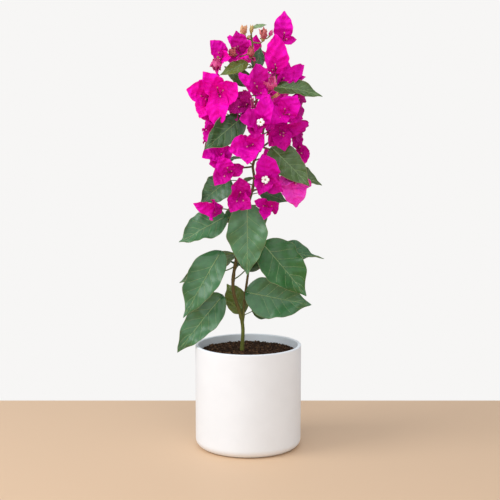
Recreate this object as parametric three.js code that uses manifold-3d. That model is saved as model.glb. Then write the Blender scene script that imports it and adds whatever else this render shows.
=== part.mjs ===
// A young bougainvillea in a plain white cylinder pot: pot, potting soil, a forked woody stem, side boughs,
// large single leaves low down, and sprays of three-bract blooms, buds and small leaves round the upper stem.
// Millimetres, +Z up. X runs to the right and Y to the back. The origin is the middle of the pot's underside.

import * as THREE from "three";
import { mergeVertices } from "three/addons/utils/BufferGeometryUtils.js";
import Module from "manifold-3d";

const wasm = await Module();
wasm.setup();

// ---------------------------------------------------------------- driving dimensions

const POT_RADIUS = 65;
const POT_HEIGHT = 127;
const POT_WALL = 4;
const POT_FLOOR = 5;
const POT_FOOT_ROUND = 10; // radius of the rounded edge under the wall
const POT_RIM_ROUND = 1.2;
const POT_SEGMENTS = 48;

const CLEAR = 0.3; // air left between two neighbouring solids
const SOIL_TOP = POT_HEIGHT - 10;
const SOIL_CROWN = 0.8; // how far the soil rises from the wall to the stem

const LEAF_THICK_SHARE = 0.012; // of the blade's length
const LEAF_THICK_MIN = 0.7;
const BRACT_WIDTH_SHARE = 0.76; // of the bract's length
const BRACT_THICK = 0.6;
const LEAF_WIDTH_SHARE = 0.52;
const BRACT_SPREAD = 30; // degrees between a bloom's axis and the foot of each bract
const BRACT_BEND = 50; // how far a bract turns outward along its length
const BRACT_ARC = 44; // the same for a bract whose tip is told
const BRACT_TWIST = 15; // how far a bract is turned about its midrib, so that its edges pass its neighbours'
const BLOOM_KNOB = 2.8;
const FLOWER_RADIUS = 4.6;
const FLOWER_REACH = 14; // from a bloom's heart to the white limb of its open flower
const TWIG_RADIUS = 1.0;
const PETIOLE_RADIUS = 0.8;
const GOLDEN_ANGLE = 137.5;

const TOUCH_MOST = 3; // mm3 of a sprig that a neighbour may have to be cut clear of

const UP = new THREE.Vector3(0, 0, 1);

// ---------------------------------------------------------------- small helpers

const radians = THREE.MathUtils.degToRad;
const vec = (x, y, z) => new THREE.Vector3(x, y, z);

// A number from -1 to 1 that is always the same for the same seed and place in the sequence.
function jitter(seed, place) {
  const wave = Math.sin(seed * 127.1 + place * 311.7) * 43758.5453;
  return 2 * (wave - Math.floor(wave)) - 1;
}

// The unit vector at an azimuth (0 right, 90 back, 180 left, -90 front) and a rise over the horizon, in
// degrees.
function heading(azimuth, rise) {
  const a = radians(azimuth);
  const r = radians(rise);
  return vec(Math.cos(a) * Math.cos(r), Math.sin(a) * Math.cos(r), Math.sin(r));
}

const azimuthOf = (v) => THREE.MathUtils.radToDeg(Math.atan2(v.y, v.x));

// The part of a direction that is square to an axis, as a unit vector.
function squareTo(direction, axis) {
  return direction.clone().addScaledVector(axis, -direction.dot(axis)).normalize();
}

// A closed three.js geometry as a solid that can be joined and cut.
function solidOf(geometry) {
  const bare = geometry.index ? geometry.toNonIndexed() : geometry.clone();
  bare.deleteAttribute("normal");
  bare.deleteAttribute("uv");
  const merged = mergeVertices(bare, 1e-3);
  const corners = merged.index.array;
  const kept = [];
  for (let i = 0; i < corners.length; i += 3) {
    const [a, b, c] = [corners[i], corners[i + 1], corners[i + 2]];
    if (a !== b && b !== c && c !== a) kept.push(a, b, c);
  }
  return new wasm.Manifold(
    new wasm.Mesh({
      numProp: 3,
      vertProperties: merged.attributes.position.array,
      triVerts: new Uint32Array(kept),
    }),
  );
}

function geometryOf(solid) {
  const mesh = solid.getMesh();
  const geometry = new THREE.BufferGeometry();
  geometry.setAttribute("position", new THREE.BufferAttribute(mesh.vertProperties, 3));
  geometry.setIndex(new THREE.BufferAttribute(mesh.triVerts, 1));
  return geometry.toNonIndexed();
}

// ---------------------------------------------------------------- limbs, twigs and blades

// A tapering round limb along a curve. grow makes it thicker and longer all round.
function limb(curve, radiusAt, sides, rings, grow = 0) {
  const geometry = new THREE.CylinderGeometry(1, 1, 1, sides, rings);
  const place = geometry.attributes.position;
  const frames = curve.computeFrenetFrames(rings, false);
  const point = vec(0, 0, 0);
  for (let i = 0; i < place.count; i++) {
    point.fromBufferAttribute(place, i);
    const ring = Math.round((point.y + 0.5) * rings);
    const share = ring / rings;
    const reach = radiusAt(share) + grow;
    const past = ring === 0 ? -grow : ring === rings ? grow : 0;
    const spot = curve
      .getPointAt(share)
      .addScaledVector(frames.tangents[ring], past)
      .addScaledVector(frames.normals[ring], point.z * reach)
      .addScaledVector(frames.binormals[ring], point.x * reach);
    place.setXYZ(i, spot.x, spot.y, spot.z);
  }
  return solidOf(geometry);
}

// Half widths of the two blades along their length, as a share of the widest: a leaf is broad near its base
// and drawn out to a point, and a bract is rounder.
const leafOutline = (t) => Math.sin(Math.PI * t ** 0.66) ** 0.85;
const bractOutline = (t) => Math.sin(Math.PI * t ** 0.9) ** 0.66;

// A leaf or bract: a thin lens-shaped blade along a midrib that bends away from its upper face.
// look holds base, forward and face (unit vectors), length, width, bend, fold (degrees), thick and outline.
function blade(look, stations, grow = 0) {
  const { base, forward, face, length, width, bend, fold, thick, outline } = look;
  const side = face.clone().cross(forward);
  const steps = 48;
  const midrib = [base.clone().addScaledVector(forward, -grow)];
  const run = (length + 2 * grow) / steps;
  for (let i = 0; i < steps; i++) {
    const turn = radians(bend) * ((i + 0.5) / steps);
    const next = midrib[i].clone();
    next.addScaledVector(forward, run * Math.cos(turn)).addScaledVector(face, -run * Math.sin(turn));
    midrib.push(next);
  }
  const geometry = new THREE.SphereGeometry(1, 4, stations);
  const place = geometry.attributes.position;
  const point = vec(0, 0, 0);
  for (let i = 0; i < place.count; i++) {
    point.fromBufferAttribute(place, i);
    const t = Math.acos(THREE.MathUtils.clamp(point.y, -1, 1)) / Math.PI;
    const ring = Math.hypot(point.x, point.z);
    const across = ring > 1e-4 ? point.x / ring : 0;
    const above = ring > 1e-4 ? point.z / ring : 0;
    const turn = radians(bend) * t;
    const up = face.clone().multiplyScalar(Math.cos(turn)).addScaledVector(forward, Math.sin(turn));
    const half = ring > 1e-4 ? (width / 2) * outline(t) + grow : 0;
    const spot = midrib[Math.round(t * steps)].clone();
    spot.addScaledVector(side, across * half * Math.cos(radians(fold)));
    spot.addScaledVector(up, Math.abs(across) * half * Math.sin(radians(fold)));
    spot.addScaledVector(up, above * (thick / 2 + grow) * Math.sqrt(ring));
    place.setXYZ(i, spot.x, spot.y, spot.z);
  }
  return solidOf(geometry);
}

// The curve of a twig or petiole that leaves one point and arrives at another along a given direction.
function arch(from, to, arriving) {
  const handle = to.clone().addScaledVector(arriving, -0.45 * from.distanceTo(to));
  return new THREE.QuadraticBezierCurve3(from, handle, to);
}

const taper = (from, to) => (share) => from + (to - from) * share;

// A piece is a function of grow, so that one shape can be made a little fatter to keep its neighbours clear.
// A sprig is a list of pieces that hold together: a twig with its bloom, leaf or bud.
const twig = (curve, start, end) => (grow) =>
  limb(curve, taper(start, end), 3, curve instanceof THREE.LineCurve3 ? 1 : 3, grow);

function leafSprig(foot, arriving, look) {
  const full = {
    thick: Math.max(LEAF_THICK_MIN, LEAF_THICK_SHARE * look.length),
    outline: leafOutline,
    fold: 12,
    ...look,
  };
  const stations = look.length > 45 ? 8 : 5;
  const joint = full.base.clone().addScaledVector(full.forward, 2.5);
  const sunk = { ...full, base: full.base.clone().addScaledVector(full.forward, -1.5) };
  return [
    twig(arch(foot, joint, arriving), PETIOLE_RADIUS, PETIOLE_RADIUS * 0.8),
    (grow) => blade(sunk, stations, grow),
  ];
}

// How a bract of an even bloom lies: three alike round the axis, the first turned by roll.
function evenBract({ roll, size }, k, axis, seed) {
  const right = UP.clone().cross(axis).normalize();
  const top = axis.clone().cross(right);
  const turn = radians(roll + 120 * k + 8 * jitter(seed, k));
  const outward = right.clone().multiplyScalar(Math.cos(turn)).addScaledVector(top, Math.sin(turn));
  const spread = radians(BRACT_SPREAD + 3 * jitter(seed, k + 3));
  const forward = axis.clone().multiplyScalar(Math.cos(spread)).addScaledVector(outward, Math.sin(spread));
  const face = axis.clone().multiplyScalar(Math.sin(spread)).addScaledVector(outward, -Math.cos(spread));
  face.applyAxisAngle(forward, radians(BRACT_TWIST));
  const length = size * (1 + 0.08 * jitter(seed, k + 6));
  const bend = BRACT_BEND + 14 * jitter(seed, k + 9);
  return { outward, forward, face, length, width: length * BRACT_WIDTH_SHARE, bend };
}

// How a bract lies whose tip is told, as the tip's place from the heart, and its width.
function toldBract({ tips }, k, axis, seed) {
  const [x, y, z, width] = tips[k];
  const reach = vec(x, y, z);
  const outward = squareTo(reach, axis);
  const chord = reach.clone().normalize();
  const inward = squareTo(axis, chord).applyAxisAngle(chord, radians(10 + 12 * jitter(seed, k + 3)));
  const bend = BRACT_ARC + 12 * jitter(seed, k + 9);
  const half = radians(bend / 2);
  const forward = chord.clone().multiplyScalar(Math.cos(half)).addScaledVector(inward, Math.sin(half));
  const face = inward.clone().multiplyScalar(Math.cos(half)).addScaledVector(chord, -Math.sin(half));
  return { outward, forward, face, length: (reach.length() * half) / Math.sin(half), width, bend };
}

// A bloom: three papery bracts that spread from a knob on the end of the twig. One that is out also has
// a slim tube with a flat white limb.
function bloomPieces(bloom, seed) {
  const heart = vec(...bloom.heart);
  const axis = heading(...bloom.look);
  const pieces = [(grow) => knob(heart, BLOOM_KNOB, grow)];
  for (let k = 0; k < 3; k++) {
    const lie = (bloom.tips ? toldBract : evenBract)(bloom, k, axis, seed);
    const base = heart.clone().addScaledVector(lie.outward, 1.5);
    const look = { ...lie, base, fold: 8, thick: BRACT_THICK, outline: bractOutline };
    pieces.push((grow) => blade(look, 5, grow));
  }
  if (bloom.out) {
    const end = heart.clone().addScaledVector(axis, FLOWER_REACH);
    const tube = new THREE.LineCurve3(heart, end.clone().addScaledVector(axis, 0.5));
    const disc = new THREE.LineCurve3(end, end.clone().addScaledVector(axis, 1));
    pieces.push((grow) => limb(tube, taper(0.8, 1.1), 4, 1, grow));
    pieces.push((grow) => limb(disc, () => FLOWER_RADIUS, 5, 1, grow));
  }
  return pieces;
}

// The round swelling where three bracts meet.
function knob(centre, radius, grow) {
  const geometry = new THREE.OctahedronGeometry(radius + grow, 0);
  geometry.translate(centre.x, centre.y, centre.z);
  return solidOf(geometry);
}

// A closed bud: a slim pointed body on the end of its twig.
function budSprig(foot, way, reach, length) {
  const tip = foot.clone().addScaledVector(way, reach);
  const body = new THREE.LineCurve3(tip, tip.clone().addScaledVector(way, length));
  const stalk = new THREE.LineCurve3(foot, tip.clone().addScaledVector(way, 1));
  const swell = (share) => 0.5 + 0.26 * length * Math.sin(Math.PI * Math.min(0.97, 0.1 + share) ** 0.8);
  return [
    twig(stalk, TWIG_RADIUS * 0.8, TWIG_RADIUS * 0.7),
    (grow) => limb(body, swell, 4, 2, grow),
  ];
}

// ---------------------------------------------------------------- the limbs

// Knots of each limb's centre line: [x, y, height].
const MAIN_KNOTS = [
  [-7.6, 0, SOIL_TOP + SOIL_CROWN + CLEAR],
  [-7, 0, 152],
  [-18.5, -2, 197],
  [-13.5, 0, 238],
  [-2, 1, 292],
  [7.5, -1, 330],
  [5.5, -2, 346],
  [18, 1, 380],
  [10, 2, 424],
  [8, 0, 462],
  [4, 0, 500],
];

const curveOf = (knots) => new THREE.CatmullRomCurve3(knots.map((k) => vec(...k)), false, "centripetal");
const mainCurve = curveOf(MAIN_KNOTS);

// The point of a rising curve at a height.
function pointAt(curve, height) {
  let [low, high] = [0, 1];
  for (let i = 0; i < 30; i++) {
    const middle = (low + high) / 2;
    if (curve.getPoint(middle).z < height) low = middle;
    else high = middle;
  }
  return curve.getPoint(low);
}

const mainRadius = (share) => 0.8 + 2.1 * (1 - share) ** 1.4 + 1.5 * Math.exp(-share / 0.018);

const LIMBS = [
  { name: "main_stem", curve: mainCurve, radius: mainRadius, sides: 8, rings: 30 },
  boughFrom("side_stem", 152, [[-4, 4, 184], [1, 5, 222], [6, 4, 256]], 1.9, 1.2, 9),
  boughFrom("bough_left_low", 345, [[-6, -6, 344], [-16, -12, 346]], 1.2, 0.9, 4),
  boughFrom("bough_right_low", 316, [[17, -6, 319], [29, -10, 322]], 1.2, 0.9, 4),
  boughFrom("bough_right_middle", 366, [[24, -8, 374], [33, -14, 384]], 1.3, 0.9, 4),
  boughFrom("bough_right_high", 398, [[20, -2, 405], [29, -5, 414]], 1.3, 0.9, 4),
  boughFrom("bough_left_high", 404, [[-4, -5, 410], [-20, -10, 413]], 1.3, 0.9, 4),
  boughFrom("bough_top_right", 448, [[16, -3, 452], [26, -6, 458]], 1.1, 0.8, 4),
  boughFrom("bough_top_left", 447, [[-3, 0, 455], [-12, -2, 463]], 1.1, 0.8, 4),
];

// A bough that leaves the main stem at a height and passes through knots.
function boughFrom(name, height, knots, start, end, rings) {
  const foot = pointAt(mainCurve, height);
  const curve = new THREE.CatmullRomCurve3([foot, ...knots.map((k) => vec(...k))], false, "centripetal");
  return { name, curve, radius: taper(start, end), sides: 6, rings };
}

const curves = Object.fromEntries(LIMBS.map((l) => [l.name, l.curve]));

// ---------------------------------------------------------------- large single leaves

// Each leaf: on which limb and how high its stalk leaves it, where the blade starts (azimuth and distance from
// the limb, and height), the way the blade runs, its length and width, the way its face looks, and its bend.
const LEAVES = [
  {
    name: "leaf_front", at: 301,
    stalk: [-93, 26, 296], way: [-90, -77], size: [81, 49], face: [-90, 20], bend: 12,
  },
  {
    name: "leaf_left_shoulder", at: 290,
    stalk: [-168, 29, 283], way: [-165, -23], size: [62, 41], face: [-100, 35], bend: 22,
  },
  {
    name: "leaf_left_small", at: 296,
    stalk: [164, 11, 290], way: [179, -33], size: [25, 19], face: [-95, 15], bend: 8,
  },
  {
    name: "leaf_left_long", at: 240,
    stalk: [-160, 24, 238], way: [-150, -54], size: [89, 43], face: [-97, 15], bend: 20,
  },
  {
    name: "leaf_left_hidden", at: 224,
    stalk: [160, 20, 217], way: [-175, -10], size: [54, 30], face: [-110, 40], bend: 20,
  },
  {
    name: "leaf_left_foot", at: 169,
    stalk: [-168, 24, 184], way: [-158, -47], size: [86, 40], face: [-97, 12], bend: 16,
  },
  {
    name: "leaf_right_shoulder", limb: "side_stem", at: 250,
    stalk: [-43, 21, 249], way: [-29, -42], size: [80, 53], face: [-80, 18], bend: 22,
  },
  {
    name: "leaf_right_behind", limb: "side_stem", at: 244,
    stalk: [6, 15, 245], way: [-5, -1], size: [77, 35], face: [-60, 50], bend: 28,
  },
  {
    name: "leaf_right_low", limb: "side_stem", at: 180,
    stalk: [-48, 10, 191], way: [-10, -9], size: [78, 51], face: [-86, 12], bend: 14,
  },
  {
    name: "leaf_right_under", limb: "side_stem", at: 162,
    stalk: [19, 15, 168], way: [6, 16], size: [42, 30], face: [-70, 10], bend: 14,
  },
  {
    name: "leaf_behind_low", at: 160,
    stalk: [78, 13, 167], way: [138, 46], size: [44, 30], face: [-96, 10], bend: 10,
  },
  {
    name: "leaf_behind_centre", at: 207,
    stalk: [38, 22, 220], way: [25, 66], size: [55, 38], face: [-90, 10], bend: 12,
  },
  {
    name: "leaf_left_crown", at: 322,
    stalk: [179, 31, 328], way: [-168, -36], size: [44, 34], face: [-100, 15], bend: 20,
  },
  {
    name: "leaf_left_middle", at: 407,
    stalk: [-135, 33, 402], way: [-147, -34], size: [60, 34], face: [-85, 15], bend: 14,
  },
  {
    name: "leaf_right_middle", at: 368,
    stalk: [-52, 26, 366], way: [-35, -37], size: [64, 36], face: [-88, 15], bend: 18,
  },
  {
    name: "leaf_right_tip", at: 331,
    stalk: [11, 37, 338], way: [-15, -6], size: [51, 24], face: [-60, 40], bend: 30,
  },
  {
    name: "leaf_right_high", at: 430,
    stalk: [-36, 29, 440], way: [-19, -1], size: [59, 24], face: [-80, 42], bend: 26,
  },
  {
    name: "leaf_top_left", at: 460,
    stalk: [-137, 16, 468], way: [-140, -19], size: [40, 16], face: [-70, 30], bend: 14,
  },
  {
    name: "leaf_top_under", at: 434,
    stalk: [157, 9, 445], way: [176, 34], size: [38, 20], face: [-95, 10], bend: 10,
  },
  {
    name: "leaf_top_centre", at: 452,
    stalk: [59, 3, 463], way: [10, 80], size: [27, 16], face: [-100, 10], bend: 10,
  },
  {
    name: "leaf_right_lower", at: 311,
    stalk: [29, 16, 313], way: [-14, -16], size: [34, 19], face: [-80, 25], bend: 18,
  },
  {
    name: "leaf_back_low", at: 212,
    stalk: [60, 12, 224], way: [52, 4], size: [70, 42], face: [60, 60], bend: 42,
  },
  {
    name: "leaf_back_left", at: 236,
    stalk: [112, 12, 238], way: [112, -8], size: [66, 40], face: [112, 55], bend: 45,
  },
  {
    name: "leaf_back_centre", at: 268,
    stalk: [75, 12, 278], way: [70, 8], size: [64, 38], face: [75, 55], bend: 40,
  },
  {
    name: "leaf_back_shoulder", at: 305,
    stalk: [110, 12, 314], way: [112, -8], size: [52, 32], face: [100, 45], bend: 35,
  },
];

function leafSprigs(row) {
  const foot = pointAt(curves[row.limb ?? "main_stem"], row.at);
  const [azimuth, out, height] = row.stalk;
  const base = vec(foot.x, foot.y, 0).addScaledVector(heading(azimuth, 0), out);
  base.z = height;
  const forward = heading(...row.way);
  const face = squareTo(heading(...row.face), forward);
  const [length, width] = row.size;
  const arriving = forward.clone().lerp(heading(azimuth, 30), 0.4).normalize();
  return [leafSprig(foot, arriving, { base, forward, face, length, width, bend: row.bend })];
}

// ---------------------------------------------------------------- sprays of blooms

// Each spray: the limb that carries it, or the height where it leaves the main stem, and its blooms. A bloom
// has its heart, the azimuth and rise of the way that it faces, and for each bract the place of its tip from
// the heart and its width. An even bloom has the turn of its first bract and the bracts' length instead.
const SPRAYS = [
  {
    name: "spray_top_right", limb: "bough_top_right", seed: 11, buds: 1,
    blooms: [
      {
        heart: [42, 5, 495], look: [-100, 15],
        tips: [[1, -6, 34, 24], [15, -2, 1, 12], [-12, 14, -12, 20]],
      },
      { heart: [32, -20, 457], look: [-95, 15], tips: [[0, -10, 44, 29], [8, 15, 9, 18], [-7, 15, 5, 18]] },
      { heart: [38, -10, 444], look: [-60, 20], tips: [[10, -8, 24, 20], [29, 0, 22, 19], [30, 2, 8, 14]] },
    ],
  },
  {
    name: "spray_top_left", limb: "bough_top_left", seed: 12, buds: 2,
    blooms: [
      {
        heart: [-30, -10, 475], look: [-105, 10],
        tips: [[-14, -8, 19, 23], [-7, -8, -20, 15], [9, -14, -1, 16]],
      },
      {
        heart: [-9, -6, 479], look: [-100, 25],
        tips: [[-5, -8, 26, 24], [-15, 8, 23, 11], [-12, -10, -12, 18]],
      },
    ],
  },
  {
    name: "spray_centre_high", at: 424, seed: 13,
    blooms: [
      {
        heart: [12, -33, 432], look: [-95, 20],
        tips: [[-2, -8, 35, 26], [-24, 14, 25, 15], [11, -12, -3, 16]],
      },
      { heart: [-2, -20, 417], look: [-105, 5], roll: 60, size: 25 },
      { heart: [25, -34, 437], look: [-70, 50], roll: 50, size: 18 },
    ],
  },
  {
    name: "spray_left_high", limb: "bough_left_high", seed: 14,
    blooms: [
      {
        heart: [-34, -26, 431], look: [-85, 5],
        tips: [[-18, -12, 26, 27], [20, -12, 13, 33], [-1, -6, -37, 29]],
      },
      {
        heart: [-46, -12, 427], look: [-100, 5],
        tips: [[-26, -14, 10, 33], [-12, 2, 22, 18], [-11, -10, -23, 25]],
      },
      { heart: [-12, -8, 417], look: [-111, 14], roll: 35, size: 26 },
    ],
  },
  {
    name: "spray_centre", at: 386, seed: 16,
    blooms: [
      {
        heart: [16, -42, 395], look: [-97, 18], out: true,
        tips: [[-25, -14, 9, 36], [-9, -22, -13, 27], [8, -4, 37, 24]],
      },
    ],
  },
  {
    name: "spray_right_high", limb: "bough_right_high", seed: 17,
    blooms: [
      {
        heart: [42, -26, 408], look: [-90, 5],
        tips: [[15, -12, 22, 29], [-19, -14, -12, 31], [22, -6, -5, 19]],
      },
      { heart: [52, -2, 425], look: [-20, -10], roll: 40, size: 26 },
    ],
  },
  {
    name: "spray_right_middle", limb: "bough_right_middle", seed: 18,
    blooms: [
      {
        heart: [38, -22, 388], look: [-85, -5],
        tips: [[33, -6, 10, 20], [5, -16, -22, 25], [-13, -10, -17, 21]],
      },
      { heart: [51, -2, 390], look: [-45, 10], roll: 7, size: 26 },
    ],
  },
  {
    name: "spray_centre_low", at: 358, seed: 19,
    blooms: [
      {
        heart: [3, -44, 372], look: [-95, -5],
        tips: [[-25, -10, -5, 29], [-4, -18, -20, 27], [15, -14, 13, 25]],
      },
    ],
  },
  {
    name: "spray_left_middle", at: 372, seed: 20, leaves: 1,
    blooms: [
      {
        heart: [-38, -8, 389], look: [-150, 10],
        tips: [[-13, -6, 11, 16], [-17, -10, 0, 21], [-12, -4, -15, 19]],
      },
    ],
  },
  {
    name: "spray_left_low", limb: "bough_left_low", seed: 21,
    blooms: [
      {
        heart: [-23, -30, 340], look: [-95, 5],
        tips: [[-16, -14, -14, 24], [-11, -10, 18, 24], [18, -4, 7, 18]],
      },
      {
        heart: [-32, -18, 360], look: [-115, 5],
        tips: [[-22, -12, -2, 26], [13, -6, 8, 21], [-6, -14, -16, 22]],
      },
    ],
  },
  {
    name: "spray_front_low", at: 309, seed: 22,
    blooms: [
      {
        heart: [-11, -36, 312], look: [-89, -5],
        tips: [[1, -10, 22, 28], [-9, -14, -17, 22], [14, -12, -13, 23]],
      },
    ],
  },
  {
    name: "spray_right_front", at: 326, seed: 23,
    blooms: [
      {
        heart: [20, -42, 331], look: [-90, 8], out: true,
        tips: [[-3, -10, 31, 32], [-7, -20, -14, 24], [20, -8, -12, 21]],
      },
    ],
  },
  {
    name: "spray_right_low", limb: "bough_right_low", seed: 24,
    blooms: [
      {
        heart: [49, -22, 333], look: [-70, 5],
        tips: [[8, -12, -34, 33], [26, 4, -10, 18], [-12, -16, -7, 19]],
      },
    ],
  },
  {
    name: "spray_right_outer", at: 352, seed: 25, leaves: 1,
    blooms: [
      { heart: [60, -2, 365], look: [-50, 0], tips: [[13, -6, -1, 20], [7, 2, -18, 19], [-10, 4, 20, 20]] },
    ],
  },
  {
    name: "spray_lowest_left", at: 282, seed: 26,
    blooms: [
      {
        heart: [-33, -14, 295], look: [-160, 0],
        tips: [[-33, -6, 6, 20], [-11, -20, -10, 18], [-8, -14, 12, 18]],
      },
    ],
  },
  {
    name: "spray_back_top", at: 458, seed: 28, leaves: 1,
    blooms: [{ heart: [5, 25, 474], look: [85, 35], roll: 95, size: 30 }],
  },
  {
    name: "spray_lowest_right", at: 297, seed: 27,
    blooms: [
      {
        heart: [22, -24, 299], look: [-85, -5],
        tips: [[-14, -8, 7, 16], [14, -10, 4, 21], [-3, -14, -14, 18]],
      },
    ],
  },
];

// The sprays behind the stem climb it by the same turn from one to the next.
const BACK_SPRAYS = { count: 5, lowest: 340, step: 23, azimuth: 90, swing: 44, out: 42, size: 32, seed: 52 };

function backSpray(index) {
  const { lowest, step, azimuth, swing, out, size, seed } = BACK_SPRAYS;
  const height = lowest + step * index;
  const turn = azimuth + (index % 2 ? swing : -swing) + 8 * jitter(seed + 9, index);
  const blooms = [0, 1].map((k) => {
    const way = turn + (k ? 34 : 0) * (index % 2 ? 1 : -1);
    const reach = out * (1 - 0.12 * k - 0.03 * index) + 4 * jitter(seed, index);
    const spot = heading(way, 0).multiplyScalar(reach);
    const rise = 15 + 20 * k + 8 * jitter(seed + k, index);
    const roll = 90 + 50 * jitter(seed + 2, index + k);
    return { heart: [spot.x, spot.y, height + 22 * k], look: [way, rise], roll, size: size - 2 * k };
  });
  return { name: `spray_back_${index + 1}`, at: height - 16, seed: seed + index, blooms, leaves: 1 };
}

// The growing tip: a cluster of buds and young leaves over the end of the main stem.
const TIP = { name: "spray_tip", height: 513, buds: 5, leaves: 1, seed: 40 };

function spraySprigs(row) {
  const carrier = curves[row.limb ?? "main_stem"];
  const foot = row.limb ? carrier.getPoint(1) : pointAt(carrier, row.at);
  const core = [];
  let stem;
  row.blooms.forEach((bloom, k) => {
    const start = k ? stem.getPoint(0.35) : foot;
    const curve = arch(start, vec(...bloom.heart), heading(...bloom.look));
    stem ??= curve;
    core.push(twig(curve, TWIG_RADIUS, TWIG_RADIUS * 0.8));
    core.push(...bloomPieces(bloom, row.seed + 50 * k));
  });
  const sprigs = [core];
  const outward = azimuthOf(vec(...row.blooms[0].heart).sub(foot));
  for (let j = 0; j < (row.leaves ?? 0); j++) {
    const start = stem.getPoint(0.3 + 0.2 * j);
    const aside = (j % 2 ? -1 : 1) * (75 + 20 * jitter(row.seed, 60 + j));
    const forward = heading(outward + aside, 10 * jitter(row.seed, 64 + j));
    sprigs.push(youngLeaf(start, forward, 28 + 5 * jitter(row.seed, 68 + j)));
  }
  for (let j = 0; j < (row.buds ?? 0); j++) {
    const way = heading(outward + 150 + 90 * j, 46 + 16 * jitter(row.seed, 80 + j));
    sprigs.push(budSprig(stem.getPoint(0.45 + 0.2 * j), way, 9, 7));
  }
  return sprigs;
}

function youngLeaf(start, forward, length) {
  const base = start.clone().addScaledVector(forward, 6);
  const face = squareTo(forward.clone().multiplyScalar(0.3).add(UP), forward);
  return leafSprig(start, forward, { base, forward, face, length, width: length * LEAF_WIDTH_SHARE, bend: 30 });
}

function tipSprigs(row) {
  const foot = mainCurve.getPoint(1).add(vec(0, 0, CLEAR));
  const crown = vec(foot.x - 1, foot.y, row.height);
  const sprigs = [[twig(new THREE.LineCurve3(foot, crown), TWIG_RADIUS, TWIG_RADIUS * 0.8)]];
  for (let j = 0; j < row.buds; j++) {
    const start = foot.clone().lerp(crown, 0.2 + (0.78 * j) / row.buds);
    const way = heading(200 + GOLDEN_ANGLE * j, 38 + 12 * jitter(row.seed, j));
    sprigs.push(budSprig(start, way, 9 + 3 * jitter(row.seed, 10 + j), 6));
  }
  for (let j = 0; j < row.leaves; j++) {
    const start = foot.clone().lerp(crown, 0.9 - 0.4 * j);
    sprigs.push(youngLeaf(start, heading(10 + 110 * j, 25), 15));
  }
  return sprigs;
}

// ---------------------------------------------------------------- pot and soil

function lathe(profile) {
  const geometry = new THREE.LatheGeometry(profile, POT_SEGMENTS);
  geometry.rotateX(Math.PI / 2);
  return solidOf(geometry);
}

// Points of a quarter round about a centre, from one angle to another in degrees.
function round(x, y, radius, from, to, steps) {
  return Array.from({ length: steps + 1 }, (_, i) => {
    const a = radians(from + ((to - from) * i) / steps);
    return new THREE.Vector2(x + radius * Math.cos(a), y + radius * Math.sin(a));
  });
}

function potSolid() {
  const inner = POT_RADIUS - POT_WALL;
  const lip = POT_RIM_ROUND;
  return lathe([
    new THREE.Vector2(0, 0),
    ...round(POT_RADIUS - POT_FOOT_ROUND, POT_FOOT_ROUND, POT_FOOT_ROUND, -90, 0, 5),
    ...round(POT_RADIUS - lip, POT_HEIGHT - lip, lip, 0, 90, 2),
    ...round(inner + lip, POT_HEIGHT - lip, lip, 90, 180, 2),
    new THREE.Vector2(inner, POT_FLOOR),
    new THREE.Vector2(0, POT_FLOOR),
  ]);
}

function soilSolid() {
  const radius = POT_RADIUS - POT_WALL - CLEAR;
  return lathe([
    new THREE.Vector2(0, POT_FLOOR + CLEAR),
    new THREE.Vector2(radius, POT_FLOOR + CLEAR),
    new THREE.Vector2(radius, SOIL_TOP),
    new THREE.Vector2(radius * 0.4, SOIL_TOP + SOIL_CROWN),
    new THREE.Vector2(0, SOIL_TOP + SOIL_CROWN),
  ]);
}

// ---------------------------------------------------------------- assembly

const FINISHES = {
  pot: { color: 0xf2f1ef, roughness: 0.45, metalness: 0 },
  soil: { color: 0x3a281e, roughness: 0.95, metalness: 0 },
  bark: { color: 0x5b4a22, roughness: 0.8, metalness: 0 },
  leaf: { color: 0x4f7d52, roughness: 0.55, metalness: 0 },
  bract: { color: 0xd4058f, roughness: 0.6, metalness: 0 },
};
const finishes = Object.fromEntries(
  Object.entries(FINISHES).map(([name, look]) => [name, new THREE.MeshStandardMaterial(look)]),
);

const plant = new THREE.Group();
plant.name = "potted_bougainvillea";
const placed = [];

function add(name, solid, finish) {
  const mesh = new THREE.Mesh(geometryOf(solid), finishes[finish]);
  mesh.name = name;
  plant.add(mesh);
}

const apart = (a, b) => [0, 1, 2].some((i) => a.min[i] > b.max[i] || b.min[i] > a.max[i]);

const join = (pieces, extra) => wasm.Manifold.union(pieces.map((piece) => piece(extra)));

function neighboursOf(solid) {
  const box = solid.boundingBox();
  return placed.filter((other) => !apart(box, other.box));
}

function touches(pieces) {
  const solid = join(pieces, 0);
  return neighboursOf(solid).reduce((sum, other) => sum + solid.intersect(other.fat).volume(), 0);
}

// Joins a node's sprigs. The first always stays, and another that would touch a neighbour is left out.
// The whole is then cut clear of what already stands, as at the bark where it sits on its limb.
function grow(name, sprigs, finish) {
  const kept = sprigs.filter((pieces, i) => i === 0 || touches(pieces) < TOUCH_MOST).flat();
  let solid = join(kept, 0);
  for (const other of neighboursOf(solid)) solid = solid.subtract(other.fat);
  const bodies = solid.decompose().sort((a, b) => b.volume() - a.volume());
  const fat = join(kept, CLEAR);
  placed.push({ fat, box: fat.boundingBox() });
  add(name, bodies[0], finish);
}

add("pot", potSolid(), "pot");
add("potting_soil", soilSolid(), "soil");
for (const row of LIMBS) {
  grow(row.name, [[(extra) => limb(row.curve, row.radius, row.sides, row.rings, extra)]], "bark");
}
for (const row of LEAVES) grow(row.name, leafSprigs(row), "leaf");
for (const row of SPRAYS) grow(row.name, spraySprigs(row), "bract");
for (let i = 0; i < BACK_SPRAYS.count; i++) {
  const row = backSpray(i);
  grow(row.name, spraySprigs(row), "bract");
}
grow(TIP.name, tipSprigs(TIP), "bract");

export default plant;
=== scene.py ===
"""A young bougainvillea in a plain white cylinder pot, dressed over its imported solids.

The tables are in millimetres, +Z up, X to the right and Y to the back, with the origin under the middle of
the pot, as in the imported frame. Lengths turn to metres where a mesh is made.
"""

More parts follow.
